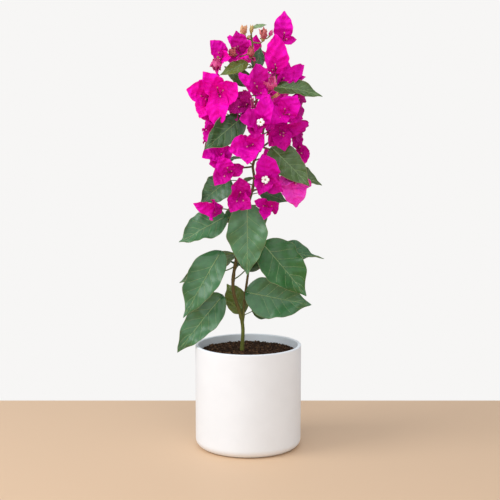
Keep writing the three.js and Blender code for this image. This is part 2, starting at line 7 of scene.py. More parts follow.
import logging
import math
from collections.abc import Callable, Iterable, Sequence
from dataclasses import dataclass, field
from enum import Enum
from itertools import combinations
from typing import NamedTuple

import bmesh
import bpy
import numpy as np
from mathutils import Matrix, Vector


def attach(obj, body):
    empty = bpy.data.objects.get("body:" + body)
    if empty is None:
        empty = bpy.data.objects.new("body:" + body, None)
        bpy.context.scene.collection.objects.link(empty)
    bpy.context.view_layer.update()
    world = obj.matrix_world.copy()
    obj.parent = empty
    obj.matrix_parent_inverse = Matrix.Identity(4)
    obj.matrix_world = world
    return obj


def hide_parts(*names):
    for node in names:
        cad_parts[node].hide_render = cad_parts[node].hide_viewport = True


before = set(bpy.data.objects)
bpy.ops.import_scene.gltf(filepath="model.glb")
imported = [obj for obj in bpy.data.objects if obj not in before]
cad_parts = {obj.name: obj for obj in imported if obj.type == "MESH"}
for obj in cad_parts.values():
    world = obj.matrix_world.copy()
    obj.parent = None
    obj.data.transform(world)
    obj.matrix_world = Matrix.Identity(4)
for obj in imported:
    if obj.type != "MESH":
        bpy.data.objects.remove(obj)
log = logging.getLogger("bougainvillea")

MM = 0.001
UP = np.array([0.0, 0.0, 1.0])
HANDLE = 0.45  # how far before its end a twig turns, as a share of its reach
BLADE_STEPS = 160  # how finely the bend of a midrib is summed
LEAST_HALF = 0.12  # half the width of a blade at its very tip
Curve = Callable[[np.ndarray], np.ndarray]
Faces = list[tuple[int, ...]]
Shape = tuple[np.ndarray, Faces]


# ---------------------------------------------------------------- the plant's own measure


def jitter(seed: float, place: float) -> float:
    """A number from -1 to 1 that is always the same for the same seed and place in the sequence."""
    wave = math.sin(seed * 127.1 + place * 311.7) * 43758.5453
    return 2 * (wave - math.floor(wave)) - 1


def unit(v: np.ndarray) -> np.ndarray:
    """The vector at length 1."""
    return v / np.linalg.norm(v)


def heading(azimuth: float, rise: float) -> np.ndarray:
    """The unit vector at an azimuth (0 right, 90 back, 180 left, -90 front) and a rise, in degrees."""
    a, r = math.radians(azimuth), math.radians(rise)
    return np.array([math.cos(a) * math.cos(r), math.sin(a) * math.cos(r), math.sin(r)])


def square_to(direction: np.ndarray, axis: np.ndarray) -> np.ndarray:
    """The part of a direction that is square to an axis, as a unit vector."""
    return unit(direction - axis * float(direction @ axis))


def turned(v: np.ndarray, axis: np.ndarray, degrees: float) -> np.ndarray:
    """A vector turned about a unit axis."""
    a = math.radians(degrees)
    return v * math.cos(a) + np.cross(axis, v) * math.sin(a) + axis * float(axis @ v) * (1 - math.cos(a))


def ease(x: np.ndarray, start: float, end: float) -> np.ndarray:
    """A smooth step from 0 at start to 1 at end."""
    s = np.clip((x - start) / (end - start), 0, 1)
    return s * s * (3 - 2 * s)


@dataclass
class Path:
    """A smooth centre line through knots, by centripetal Catmull-Rom.

    Args:
        knots: The points that it passes through, in millimetres.
        halvings: How often the search for a height halves its span.
        samples: How finely its length is measured.
    """

    knots: Sequence[Sequence[float]]
    halvings: int = 30
    samples: int = 240

    def at(self, share: float) -> np.ndarray:
        """The point at a share of the path.

        Args:
            share: How far it is along the knots' count, from 0 to 1.

        Returns:
            The point.
        """
        p = np.array(self.knots, float)
        last = len(p) - 1
        spot = min(int(share * last), last - 1)
        weight = share * last - spot
        before = p[spot - 1] if spot > 0 else 2 * p[0] - p[1]
        after = p[spot + 2] if spot + 2 <= last else 2 * p[last] - p[last - 1]
        a, b, c, d = before, p[spot], p[spot + 1], after
        s0, s1, s2 = (math.sqrt(np.linalg.norm(y - x)) for x, y in ((a, b), (b, c), (c, d)))
        into = ((b - a) / s0 - (c - a) / (s0 + s1) + (c - b) / s1) * s1
        out = ((c - b) / s1 - (d - b) / (s1 + s2) + (d - c) / s2) * s1
        return b + into * weight + (3 * (c - b) - 2 * into - out) * weight**2 + (
            2 * (b - c) + into + out
        ) * weight**3

    def at_height(self, height: float) -> np.ndarray:
        """The point of a rising path at a height.

        Args:
            height: The height, in millimetres.

        Returns:
            The point.
        """
        low, high = 0.0, 1.0
        for _ in range(self.halvings):
            middle = (low + high) / 2
            if self.at(middle)[2] < height:
                low = middle
            else:
                high = middle
        return self.at(low)

    def run(self, count: int) -> np.ndarray:
        """Points at even lengths along the path.

        Args:
            count: How many.

        Returns:
            The points.
        """
        dense = np.array([self.at(s) for s in np.linspace(0, 1, self.samples)])
        gone = np.concatenate([[0], np.cumsum(np.linalg.norm(np.diff(dense, axis=0), axis=1))])
        even = np.linspace(0, gone[-1], count)
        return np.stack([np.interp(even, gone, dense[:, k]) for k in range(3)], axis=1)


def arch(start: np.ndarray, end: np.ndarray, arriving: np.ndarray, count: int = 9) -> np.ndarray:
    """The centre line of a twig that leaves one point and arrives at another along a given way.

    Args:
        start: Where it starts.
        end: Where it ends.
        arriving: The way that it arrives, of length 1.
        count: How many points it has.

    Returns:
        The points.
    """
    handle = end - arriving * HANDLE * float(np.linalg.norm(end - start))
    t = np.linspace(0, 1, count)[:, None]
    return (1 - t) ** 2 * start + 2 * t * (1 - t) * handle + t**2 * end


def along(points: np.ndarray, share: float) -> np.ndarray:
    """The point at a share of an arch.

    Args:
        points: The arch.
        share: How far it is along the points' count, from 0 to 1.

    Returns:
        The point.
    """
    spot = share * (len(points) - 1)
    low = min(int(spot), len(points) - 2)
    return points[low] + (points[low + 1] - points[low]) * (spot - low)


def across(axis: np.ndarray) -> tuple[np.ndarray, np.ndarray]:
    """Two directions square to an axis and to each other: to its right, and up."""
    right = unit(np.cross(UP, axis))
    return right, np.cross(axis, right)


# ---------------------------------------------------------------- finishes


def linear(code: str) -> tuple[float, float, float, float]:
    """The linear colour of an sRGB hex code.

    Args:
        code: The code, such as "d4058f".

    Returns:
        The colour, with its alpha.
    """
    parts = [int(code[i : i + 2], 16) / 255 for i in (0, 2, 4)]
    red, green, blue = (c / 12.92 if c <= 0.04045 else ((c + 0.055) / 1.055) ** 2.4 for c in parts)
    return red, green, blue, 1.0


def add_node(
    tree: bpy.types.NodeTree, kind: str, settings: dict | None = None, links: dict | None = None
) -> bpy.types.Node:
    """Adds a node with its settings and links.

    Args:
        tree: The material's node tree.
        kind: The node's type name, without "ShaderNode".
        settings: Properties, or input sockets by name or number, with their values. The stops of a colour
            ramp are pairs of a place and a hex colour, in rising order.
        links: Input sockets by name or number, with the output socket that each reads.

    Returns:
        The new node.
    """
    node = tree.nodes.new("ShaderNode" + kind)
    for name, value in (settings or {}).items():
        if name == "stops":
            stops = node.color_ramp.elements
            while len(stops) < len(value):
                stops.new(1.0)
            for stop, (place, code) in zip(stops, value):
                stop.position, stop.color = place, linear(code)
        elif isinstance(name, int) or name in node.inputs:
            node.inputs[name].default_value = value
        else:
            setattr(node, name, value)
    for name, socket in (links or {}).items():
        tree.links.new(socket, node.inputs[name])
    return node


def new_tree(name: str) -> tuple[bpy.types.Material, bpy.types.NodeTree]:
    """A material with an empty node tree.

    Args:
        name: Its name.

    Returns:
        The material and its tree.
    """
    material = bpy.data.materials.new(name)
    material.use_nodes = True
    material.node_tree.nodes.clear()
    return material, material.node_tree


@dataclass(frozen=True)
class Finish:
    """A surface whose colour wanders between two near ones and whose skin is finely uneven.

    Args:
        title: The material's name.
        low: The darker of its two near colours.
        high: The lighter.
        roughness: How dull it is.
        gloss: How strongly it mirrors.
        glow: The share of light that goes in and comes out again beside.
        ior: Its index of refraction.
        patch: The size of its patches of colour, in millimetres.
        detail: How finely the edges of the patches break up.
        grain: The size of its cells, lumps or wrinkles, in millimetres, drawn coarse enough to show.
        depth: How deep they are, in millimetres.
    """

    title: str
    low: str
    high: str
    roughness: float = 0.5
    gloss: float = 0.4
    glow: float = 0.0
    ior: float = 1.45
    patch: float = 7.0
    detail: float = 3.0
    grain: float = 1.2
    depth: float = 0.05

    def material(self) -> bpy.types.Material:
        """The finish as a material of one Principled surface.

        Returns:
            The material.
        """
        made, tree = new_tree(self.title)
        settings = {
            "Roughness": self.roughness,
            "IOR": self.ior,
            "Specular IOR Level": self.gloss,
            "Subsurface Weight": self.glow,
            "Subsurface Radius": (1.0, 0.4, 0.6),
            "Subsurface Scale": 1.5 * MM,
        }
        skin = add_node(tree, "BsdfPrincipled", settings, self.drive(tree))
        add_node(tree, "OutputMaterial", {}, {"Surface": skin.outputs["BSDF"]})
        return made

    def drive(self, tree: bpy.types.NodeTree) -> dict[str, bpy.types.NodeSocket]:
        """The nodes of its colour and its skin.

        Args:
            tree: The material's node tree.

        Returns:
            The socket that each of the surface's inputs reads.
        """
        coords = add_node(tree, "TexCoord").outputs["Object"]
        clouds = add_node(
            tree, "TexNoise", {"Scale": 1 / (self.patch * MM), "Detail": self.detail}, {"Vector": coords}
        )
        stops = ((0.35, self.low), (0.65, self.high))
        colour = add_node(tree, "ValToRGB", {"stops": stops}, {"Fac": clouds.outputs["Fac"]})
        lumps = add_node(
            tree, "TexNoise", {"Scale": 1 / (self.grain * MM), "Detail": 2.0}, {"Vector": coords}
        )
        bump = add_node(
            tree, "Bump", {"Strength": 1.0, "Distance": self.depth * MM}, {"Height": lumps.outputs["Fac"]}
        )
        return {"Base Color": colour.outputs["Color"], "Normal": bump.outputs["Normal"]}


@dataclass(frozen=True)
class Bark(Finish):
    """Bark that changes colour from its foot to its tip, with fine dull streaks lengthwise.

    Args:
        middle: Its colour over most of its height; low is that of its foot, and high that of its tip.
        soil: The height of its foot, in metres.
        tip: The height of its tip, in metres.
        streak: How far apart its streaks are round the stem, in millimetres.
        stretch: Their width as a share of their length.
    """

    middle: str = "6c5a30"
    soil: float = 0.117
    tip: float = 0.5
    streak: float = 0.8
    stretch: float = 0.12

    def drive(self, tree: bpy.types.NodeTree) -> dict[str, bpy.types.NodeSocket]:
        """The nodes of its colour and its skin.

        Args:
            tree: The material's node tree.

        Returns:
            The socket that each of the surface's inputs reads.
        """
        coords = add_node(tree, "TexCoord").outputs["Object"]
        place = add_node(tree, "SeparateXYZ", {}, {"Vector": coords})
        share = add_node(
            tree, "MapRange", {"From Min": self.soil, "From Max": self.tip}, {"Value": place.outputs["Z"]}
        )
        stops = ((0, self.low), (0.09, self.low), (0.17, self.middle), (0.45, self.middle), (1, self.high))
        rising = add_node(tree, "ValToRGB", {"stops": stops}, {"Fac": share.outputs["Result"]})
        stretched = add_node(tree, "Mapping", {"Scale": (1.0, 1.0, self.stretch)}, {"Vector": coords})
        streaks = add_node(
            tree,
            "TexNoise",
            {"Scale": 1 / (self.streak * MM), "Detail": 4.0},
            {"Vector": stretched.outputs["Vector"]},
        ).outputs["Fac"]
        dull = add_node(tree, "ValToRGB", {"stops": ((0.3, "c0b8a4"), (0.62, "ffffff"))}, {"Fac": streaks})
        colour = add_node(
            tree,
            "Mix",
            {"data_type": "RGBA", "blend_type": "MULTIPLY", 0: 1.0},
            {6: rising.outputs["Color"], 7: dull.outputs["Color"]},
        )
        bump = add_node(
            tree, "Bump", {"Strength": 1.0, "Distance": self.depth * MM}, {"Height": streaks}
        )
        return {"Base Color": colour.outputs[2], "Normal": bump.outputs["Normal"]}


def peat(dark: str, light: str) -> Finish:
    """Damp potting peat: dull brown crumbs, some nearly black and some with a dry pale edge.

    Args:
        dark: The colour of its dark patches.
        light: The colour of its light patches.

    Returns:
        The finish.
    """
    return Finish(
        "damp_potting_peat", dark, light, 0.92, 0.3, ior=1.4, patch=2.4, detail=6.0, grain=0.7, depth=0.35
    )


def waxy(age: str, low: str, high: str, roughness: float, gloss: float, glow: float = 0.08) -> Finish:
    """A leaf's upper skin: thin wax, which lays a cool soft shine over the green."""
    return Finish("waxy_leaf_" + age, low, high, roughness, gloss, glow)


def underside(age: str, low: str, high: str, glow: float = 0.08) -> Finish:
    """A leaf's underside: paler and dull, with no wax."""
    return Finish("leaf_underside_" + age, low, high, 0.6, 0.3, glow)


def papery(age: str, low: str, high: str) -> Finish:
    """A bract's skin: dry thin paper that hardly mirrors and keeps its full colour in the light."""
    return Finish("papery_bract_" + age, low, high, 0.62, 0.12, 0.05)


def fleshy(title: str, low: str, high: str, roughness: float = 0.55) -> Finish:
    """The skin of a flower or bud, which is moist and lets some light through."""
    return Finish(title, low, high, roughness, 0.3, 0.2)


def unripe(title: str, low: str, high: str, roughness: float = 0.6) -> Finish:
    """The skin of a bract or cup that is still small: soft, and muted by the green under its colour."""
    return Finish(title, low, high, roughness, 0.3, 0.1)


class LeafTint(Enum):
    """How old a leaf is: its upper skin and its underside."""

    MATURE = waxy("mature", "396a3e", "417445", 0.4, 0.72), underside("mature", "6f9470", "7c9f7b")
    OLIVE = waxy("olive", "43602a", "4c6b30", 0.4, 0.72), underside("olive", "74905a", "809a66")
    PALE = waxy("pale", "46744a", "4f7e50", 0.4, 0.72), underside("pale", "77997a", "84a586")
    RICH = waxy("rich", "286026", "2e692b", 0.4, 0.72), underside("rich", "658c66", "739872")
    DEEP = waxy("deep", "2c5425", "345e2a", 0.4, 0.72), underside("deep", "5c8261", "6a906d")
    TIP = waxy("tip", "7f9a6c", "90a87c", 0.5, 0.4, 0.1), underside("tip", "8fa67c", "9fb48c", 0.1)
    YOUNG = waxy("young", "66742c", "707e36", 0.46, 0.5, 0.12), underside("young", "86955a", "93a268", 0.12)


class BractTint(Enum):
    """How old a spray's papery bracts are, save one darker purple copy of the magenta, which is painted shade
    for blooms deep in the crown.
    """

    BRIGHT = papery("bright", "f200ae", "fa04ba")
    FULL = papery("full", "de00aa", "ea06b6")
    RIPE = papery("ripe", "c2008c", "d0069a")
    # Painted shade: a darker purple copy of the bracts' magenta, for blooms that sit in shade deep in the
    # crown.
    PAINTED_SHADE = papery("painted_shade", "b81088", "c42096")
    ROSE = papery("rose", "f634c0", "fa50ce")
    YOUNG = papery("young", "d43c8a", "e4709c")


# Matt-glazed stoneware: an even white with a soft broad shine and a faint eggshell skin.
GLAZE = Finish(
    "matt_glazed_stoneware", "f1f5f9", "eef2f6", 0.42, 0.5, ior=1.5, patch=30, grain=1.6, depth=0.02
)
# Young woody bark: green where it leaves the soil and red-brown higher up.
BARK = Bark("young_woody_bark", "71782f", "7c8040", 0.62, depth=0.25)
# What runs over and round a leaf's skin: paler, and as soft as the stalk.
LEAF_RIB = Finish("leaf_rib", "7e9a64", "90aa78", glow=0.1)
LEAF_RIM = Finish("leaf_margin_pale", "869660", "989a6c", glow=0.1)
PETIOLE = Finish("leaf_stalk_green", "5f7434", "72853e", glow=0.1)
YOUNG_BRACTS = {
    "amber": unripe("young_bract_amber", "cc8562", "dcae80"),
    "straw": unripe("young_bract_straw", "c2a060", "cdb878"),
    "coral": unripe("young_bract_coral", "c0566a", "d8847a"),
    "baby": unripe("young_bract_pink", "cc2c84", "dc6090"),
}
# The small parts of a bloom, each with a slot name and its finish.
BLOOM_PARTS = {
    "bract_veins": ("bloom", Finish("bract_vein", "d4009a", "de04a6", 0.62, 0.2, 0.05)),
    "bloom_twigs": ("bark", Finish("bloom_twig_green_brown", "7f8a42", "8c7c48", 0.55, 0.4, 0.05)),
    "flower_tubes": ("bloom", fleshy("flower_tube_rose", "8c1650", "a83468")),
    "flower_tube_tips": ("bloom", fleshy("flower_tube_tip_pale", "d9849c", "e0a0a0")),
    "open_flowers": ("bloom", fleshy("flower_white", "f6f2e8", "fffdf6")),
    "flower_eyes": ("bloom", unripe("flower_eye_green_gold", "a6a04a", "c4b65a", 0.55)),
    "buds": ("bloom", fleshy("bud_salmon", "b8475c", "d3697a", 0.6)),
    "bud_cups": ("leaf", unripe("bud_cup_green_gold", "8f8f3f", "b39a58")),
}


# ---------------------------------------------------------------- meshes from arrays


@dataclass
class Joined:
    """Many small closed shapes that become one mesh.

    Args:
        name: The piece's name.
        skins: The finish of each of its material slots.
        slot: Not used.
        points: The corners so far, and with them their faces, the number of each face's skin, the nodes that
            they stand for, and the corners' count.
    """

    name: str
    skins: Sequence[Finish]
    slot: str
    points: list[np.ndarray] = field(default_factory=list)
    faces: Faces = field(default_factory=list)
    marks: list[int] = field(default_factory=list)
    stands_for: set[str] = field(default_factory=set)
    count: int = 0

    def add(
        self,
        points: np.ndarray,
        faces: Iterable[Sequence[int]],
        node: str = "",
        under: Iterable[Sequence[int]] = (),
    ) -> None:
        """Adds one closed shape.

        Args:
            points: Its corners in millimetres.
            faces: The corners of each face, turning left seen from outside.
            node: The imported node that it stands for.
            under: Those of its faces that wear the second skin.
        """
        for mark, some in enumerate((faces, under)):
            moved = [tuple(self.count + int(i) for i in face) for face in some]
            self.faces.extend(moved)
            self.marks.extend([mark] * len(moved))
        self.points.append(points)
        self.count += len(points)
        if node:
            self.stands_for.add(node)

    def piece(self) -> bpy.types.Object:
        """Makes the mesh, dresses it and lets it stand for its nodes.

        Returns:
            The piece.
        """
        mesh = bpy.data.meshes.new(self.name)
        mesh.from_pydata((np.concatenate(self.points) * MM).tolist(), [], self.faces)
        mesh.polygons.foreach_set("material_index", self.marks)
        mesh.polygons.foreach_set("use_smooth", [True] * len(self.faces))
        for skin in self.skins:
            mesh.materials.append(skin.material())
        mesh.update()
        made = bpy.data.objects.new(self.name, mesh)
        bpy.context.scene.collection.objects.link(made)
        return settle(made, sorted(self.stands_for))


def settle(piece: bpy.types.Object, nodes: Sequence[str]) -> bpy.types.Object:
    """Puts a finished piece on its body, in place of its nodes.

    Args:
        piece: The piece.
        nodes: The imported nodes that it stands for.

    Returns:
        The piece.
    """
    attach(piece, "root")
    if nodes:
        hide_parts(*nodes)
    triangles = sum(len(p.vertices) - 2 for p in piece.data.polygons)
    log.info("%s: %d triangles, for %d nodes", piece.name, triangles, len(nodes))
    return piece


def frames_along(points: np.ndarray) -> tuple[np.ndarray, np.ndarray]:
    """Two directions square to a line at each of its points, without sudden turns.

    Args:
        points: The line.

    Returns:
        The two directions at each point.
    """
    ways = np.gradient(points, axis=0)
    ways /= np.linalg.norm(ways, axis=1)[:, None]
    start = UP if abs(ways[0][2]) < 0.9 else np.array([1.0, 0.0, 0.0])
    normals = [square_to(start, ways[0])]
    for way in ways[1:]:
        normals.append(square_to(normals[-1], way))
    ones = np.array(normals)
    return ones, np.cross(ways, ones)


def ring_faces(rows: int, sides: int) -> Faces:
    """The faces between rings of corners that come one ring after the other.

    Args:
        rows: How many rings there are.
        sides: How many corners a ring has.

    Returns:
        The corners of each face, turning left seen from outside.
    """
    return [
        (i * sides + j, i * sides + (j + 1) % sides, (i + 1) * sides + (j + 1) % sides, (i + 1) * sides + j)
        for i in range(rows - 1)
        for j in range(sides)
    ]


def tube(points: np.ndarray, radii: np.ndarray, sides: int = 8, ridge: float = 0.0) -> Shape:
    """A closed round tube.

    Args:
        points: Its centre line.
        radii: Its radius at each point.
        sides: How many corners a ring has.
        ridge: The share by which three ridges stand out.

    Returns:
        Its corners and faces.
    """
    ones, twos = frames_along(points)
    angles = np.arange(sides) * 2 * math.pi / sides
    reach = 1 + ridge * np.cos(3 * angles)
    ring = np.cos(angles)[None, :, None] * ones[:, None] + np.sin(angles)[None, :, None] * twos[:, None]
    corners = points[:, None] + ring * (radii[:, None] * reach[None])[..., None]
    faces = ring_faces(len(points), sides)
    last = (len(points) - 1) * sides
    faces += [tuple(range(sides - 1, -1, -1)), tuple(range(last, last + sides))]
    return corners.reshape(-1, 3), faces


def ball(centre: np.ndarray, radius: float, sides: int) -> Shape:
    """A small round body.

    Args:
        centre: Its middle.
        radius: Its radius.
        sides: How many corners a ring has.

    Returns:
        Its corners and faces.
    """
    angles = np.linspace(0.12, math.pi - 0.12, 7)
    line = centre + UP * (-np.cos(angles) * radius)[:, None]
    return tube(line, np.sin(angles) * radius, sides)


def leaf_outline(t: np.ndarray) -> np.ndarray:
    """Half the width of a leaf along its length: broad near its base and drawn out to a point."""
    full = np.sin(math.pi * np.clip(t, 0, 1) ** 0.66) ** 0.85
    return full * (1 - 0.42 * ease(t, 0.7, 0.97))


def bract_outline(t: np.ndarray) -> np.ndarray:
    """Half the width of a bract along its length: egg-shaped with a drawn-out point."""
    full = np.sin(math.pi * np.clip(t, 0, 1) ** 0.78) ** 0.7
    return full * (1 - 0.45 * ease(t, 0.72, 0.98))


def slant(wide: np.ndarray) -> np.ndarray:
    """How far forward a side vein has run where it is out at a share of the half width."""
    return 0.24 * wide**0.9


@dataclass
class Blade:
    """A thin leaf or bract along a midrib that bends away from its upper face.

    Args:
        base: Where it starts.
        forward: The way that it sets off.
        face: The way that its upper face looks, square to forward.
        length: Its length.
        width: Its greatest width.
        bend: Degrees that it turns along its length.
        fold: Degrees that its two halves rise from the midrib.
        outline: Half its width along its length, as a share.
        veins: How many side veins each half has.
        relief: How far the skin rises between veins.
        wave: How far its edge waves.
        crinkle: How deep its paper wrinkles are.
        thick: Its thickness.
        seed: What sets its own wrinkles apart.
        hook: Degrees that its tip turns further.
        twist: Degrees that it turns about its midrib.
        lobe: How far its two halves reach back past its base, as a share of the length.
        ragged: The share by which its edge swings in and out.
    """

    base: np.ndarray
    forward: np.ndarray
    face: np.ndarray
    length: float
    width: float
    bend: float
    fold: float
    outline: Curve
    veins: float
    relief: float
    wave: float
    crinkle: float
    thick: float
    seed: float
    hook: float = 0.0
    twist: float = 0.0
    lobe: float = 0.0
    ragged: float = 0.0

    def points(self, t: np.ndarray, v: np.ndarray) -> np.ndarray:
        """Points of the middle surface.

        Args:
            t: Shares of the length.
            v: Shares of the half width, from -1 to 1.

        Returns:
            A point for each pair.
        """
        steps = np.linspace(0, 1, BLADE_STEPS + 1)
        turns = math.radians(self.bend) * steps + math.radians(self.hook) * steps**5
        middle = (turns[1:] + turns[:-1]) / 2
        gone = np.concatenate([[0], np.cumsum(np.cos(middle))]) / BLADE_STEPS * self.length
        sunk = np.concatenate([[0], np.cumsum(np.sin(middle))]) / BLADE_STEPS * self.length
        turn = np.interp(t, steps, turns)[..., None]
        side = np.cross(self.face, self.forward)
        up = self.face * np.cos(turn) + self.forward * np.sin(turn)
        roll = math.radians(self.twist) * t[..., None]
        side, up = side * np.cos(roll) + up * np.sin(roll), up * np.cos(roll) - side * np.sin(roll)
        half = np.maximum(self.width / 2 * self.outline(t), LEAST_HALF)
        # One half is up to a twentieth wider, and the edge swings in and out in two rhythms.
        half = half * (1 + 0.05 * jitter(self.seed, 31) * np.sign(v))
        for k, often in enumerate((2.3, 5.1)):
            slide = 3 * jitter(self.seed, 33 + k) + 2 * np.sign(v) * jitter(self.seed, 36 + k)
            half = half * (1 + self.ragged * np.sin(2 * math.pi * often * t + slide) / (k + 1))
        fold = math.radians(self.fold)
        lift = half * np.abs(v) ** 1.5 * math.sin(fold) + self.rise(t, v, half)
        back = self.lobe * self.length * np.abs(v) ** 1.6 * (1 - ease(t, 0.0, 0.35))
        spot = self.base + self.forward * (np.interp(t, steps, gone) - back)[..., None]
        spot = spot - self.face * np.interp(t, steps, sunk)[..., None]
        return spot + side * (v * half * math.cos(fold))[..., None] + up * lift[..., None]

    def over(self, t: np.ndarray, v: np.ndarray, lift: float) -> np.ndarray:
        """Points that stand a little over the middle surface, on its upper side.

        Args:
            t: Shares of the length.
            v: Shares of the half width, from -1 to 1.
            lift: How far they stand over it.

        Returns:
            A point for each pair.
        """
        step = 1e-3
        spot = self.points(t, v)
        out = np.cross(self.points(t + step, v) - spot, self.points(t, v + step) - spot)
        return spot + out / np.linalg.norm(out, axis=-1)[..., None] * lift

    def rise(self, t: np.ndarray, v: np.ndarray, half: np.ndarray) -> np.ndarray:
        """How far the surface stands out between its veins, in its wrinkles and at its waving edge.

        Args:
            t: Shares of the length.
            v: Shares of the half width, from -1 to 1.
            half: Half the width there.

        Returns:
            The rise at each pair.
        """
        wide = np.abs(v)
        # Cushions between the side veins, which fade at the midrib, the edge, the base and the tip.
        phase = self.veins * (t - slant(wide)) + 0.25 * np.sign(v)
        quilt = np.sin(math.pi * phase) ** 2 - 0.5
        quilt = quilt * ease(wide, 0.02, 0.2) * (1 - wide**4) * ease(1 - t, 0.04, 0.25) * ease(t, 0.0, 0.1)
        # Waves in three rhythms, which start elsewhere on each side and are strongest at the edge.
        edge = np.zeros_like(v)
        for k, often in enumerate((1.3, 2.6, 4.3)):
            slide = math.pi * (jitter(self.seed, 40 + k) + np.sign(v) * (0.7 + jitter(self.seed, 44 + k)))
            edge = edge + np.sin(2 * math.pi * often * t + slide) / (k + 1)
        edge = edge * wide**2.4 * ease(half, 0.3, 4.0)
        # Sharp creases of six widths, each at its own slant.
        paper = np.zeros_like(v)
        for k in range(6):
            a = math.pi * jitter(self.seed, 50 + k)
            fine = math.pi / (self.length * (0.2 + 0.08 * k))
            travel = t * self.length * math.cos(a) + v * half * math.sin(a)
            paper = paper + (1 - 2 * np.abs(np.sin(fine * travel + 3 * a))) / 2.4
        paper = paper * ease(half, 0.5, 5.0) * ease(t, 0.0, 0.3)
        return self.relief * quilt + self.wave * edge + self.crinkle * paper

    def solid(self, rows: int, columns: int) -> tuple[np.ndarray, Faces, Faces]:
        """The blade as a thin closed body.

        Args:
            rows: Cells along it.
            columns: Cells across it.

        Returns:
            Its corners, the faces of its upper side and rim, and those of its underside.
        """
        t = 1 - (1 - np.linspace(0, 1, rows + 1)) ** 1.15
        v = np.sin(np.linspace(-1, 1, columns + 1) * math.pi / 2 * 0.9) / math.sin(math.pi / 2 * 0.9)
        tt, vv = np.meshgrid(t, v, indexing="ij")
        sheet = self.points(tt, vv)
        out = np.cross(np.gradient(sheet, axis=0), np.gradient(sheet, axis=1))
        out /= np.linalg.norm(out, axis=2)[..., None]
        half = (self.thick / 2 * (1 - 0.6 * np.abs(vv) ** 6))[..., None]
        corners = np.concatenate([(sheet + out * half).reshape(-1, 3), (sheet - out * half).reshape(-1, 3)])
        n, m = rows + 1, columns + 1
        low = n * m
        top = [
            (i * m + j, (i + 1) * m + j, (i + 1) * m + j + 1, i * m + j + 1)
            for i in range(rows)
            for j in range(columns)
        ]
        under = [tuple(low + k for k in reversed(face)) for face in top]
        for i in range(rows):
            a, b = i * m, (i + 1) * m
            top.append((b, a, low + a, low + b))
            top.append((a + m - 1, b + m - 1, low + b + m - 1, low + a + m - 1))
        for j in range(columns):
            a, b = j, (n - 1) * m + j
            top.append((a, a + 1, low + a + 1, low + a))
            top.append((b + 1, b, low + b, low + b + 1))
        return corners, top, under


# ---------------------------------------------------------------- tools for pieces shaped by hand


Element = bmesh.types.BMVert | bmesh.types.BMEdge | bmesh.types.BMFace


def clear_selection() -> None:
    """Leaves nothing selected, in object mode."""
    if bpy.context.object and bpy.context.object.mode != "OBJECT":
        bpy.ops.object.mode_set(mode="OBJECT")
    bpy.ops.object.select_all(action="DESELECT")


def pick(kind: str, test: Callable[[Element], bool]) -> None:
    """Selects just the edit mesh's elements that pass a test.

    Args:
        kind: "edges" or "faces".
        test: Says whether an element is wanted.
    """
    bpy.ops.mesh.select_mode(type={"edges": "EDGE", "faces": "FACE"}[kind])
    bpy.ops.mesh.select_all(action="DESELECT")
    shape = bmesh.from_edit_mesh(bpy.context.object.data)
    for element in filter(test, getattr(shape, kind)):
        element.select_set(True)
    bmesh.update_edit_mesh(bpy.context.object.data)


def cylinder(radius: float, low: float, high: float, sides: int) -> bpy.types.Object:
    """Adds an upright cylinder on the pot's axis, and leaves it in edit mode with its top face picked.

    Args:
        radius: Its radius.
        low: The height of its underside.
        high: The height of its top.
        sides: How many corners it has round.

    Returns:
        The cylinder.
    """
    clear_selection()
    bpy.ops.mesh.primitive_cylinder_add(
        vertices=sides,
        radius=radius * MM,
        depth=(high - low) * MM,
        end_fill_type="NGON",
        location=(0, 0, (low + high) / 2 * MM),
    )
    bpy.ops.object.mode_set(mode="EDIT")
    pick("faces", lambda f: f.normal.z > 0.9)
    return bpy.context.object


def apply_all(piece: bpy.types.Object) -> None:
    """Applies a piece's modifiers in order.

    Args:
        piece: The piece.
    """
    bpy.context.view_layer.objects.active = piece
    for modifier in list(piece.modifiers):
        bpy.ops.object.modifier_apply(modifier=modifier.name)


def finish_shape(piece: bpy.types.Object, name: str, skin: bpy.types.Material, angle: float) -> None:
    """Names a piece, puts its place in its mesh, and gives it its skin and smooth shading.

    Args:
        piece: The piece.
        name: Its name.
        skin: Its material.
        angle: The least angle between two faces, in degrees, that still shows as an edge.
    """
    piece.name = piece.data.name = name
    clear_selection()
    piece.select_set(True)
    bpy.context.view_layer.objects.active = piece
    bpy.ops.object.transform_apply(location=True, rotation=True, scale=True)
    bpy.ops.object.shade_smooth_by_angle(angle=math.radians(angle))
    piece.data.materials.clear()
    piece.data.materials.append(skin)
    piece.select_set(False)


# ---------------------------------------------------------------- pot and soil


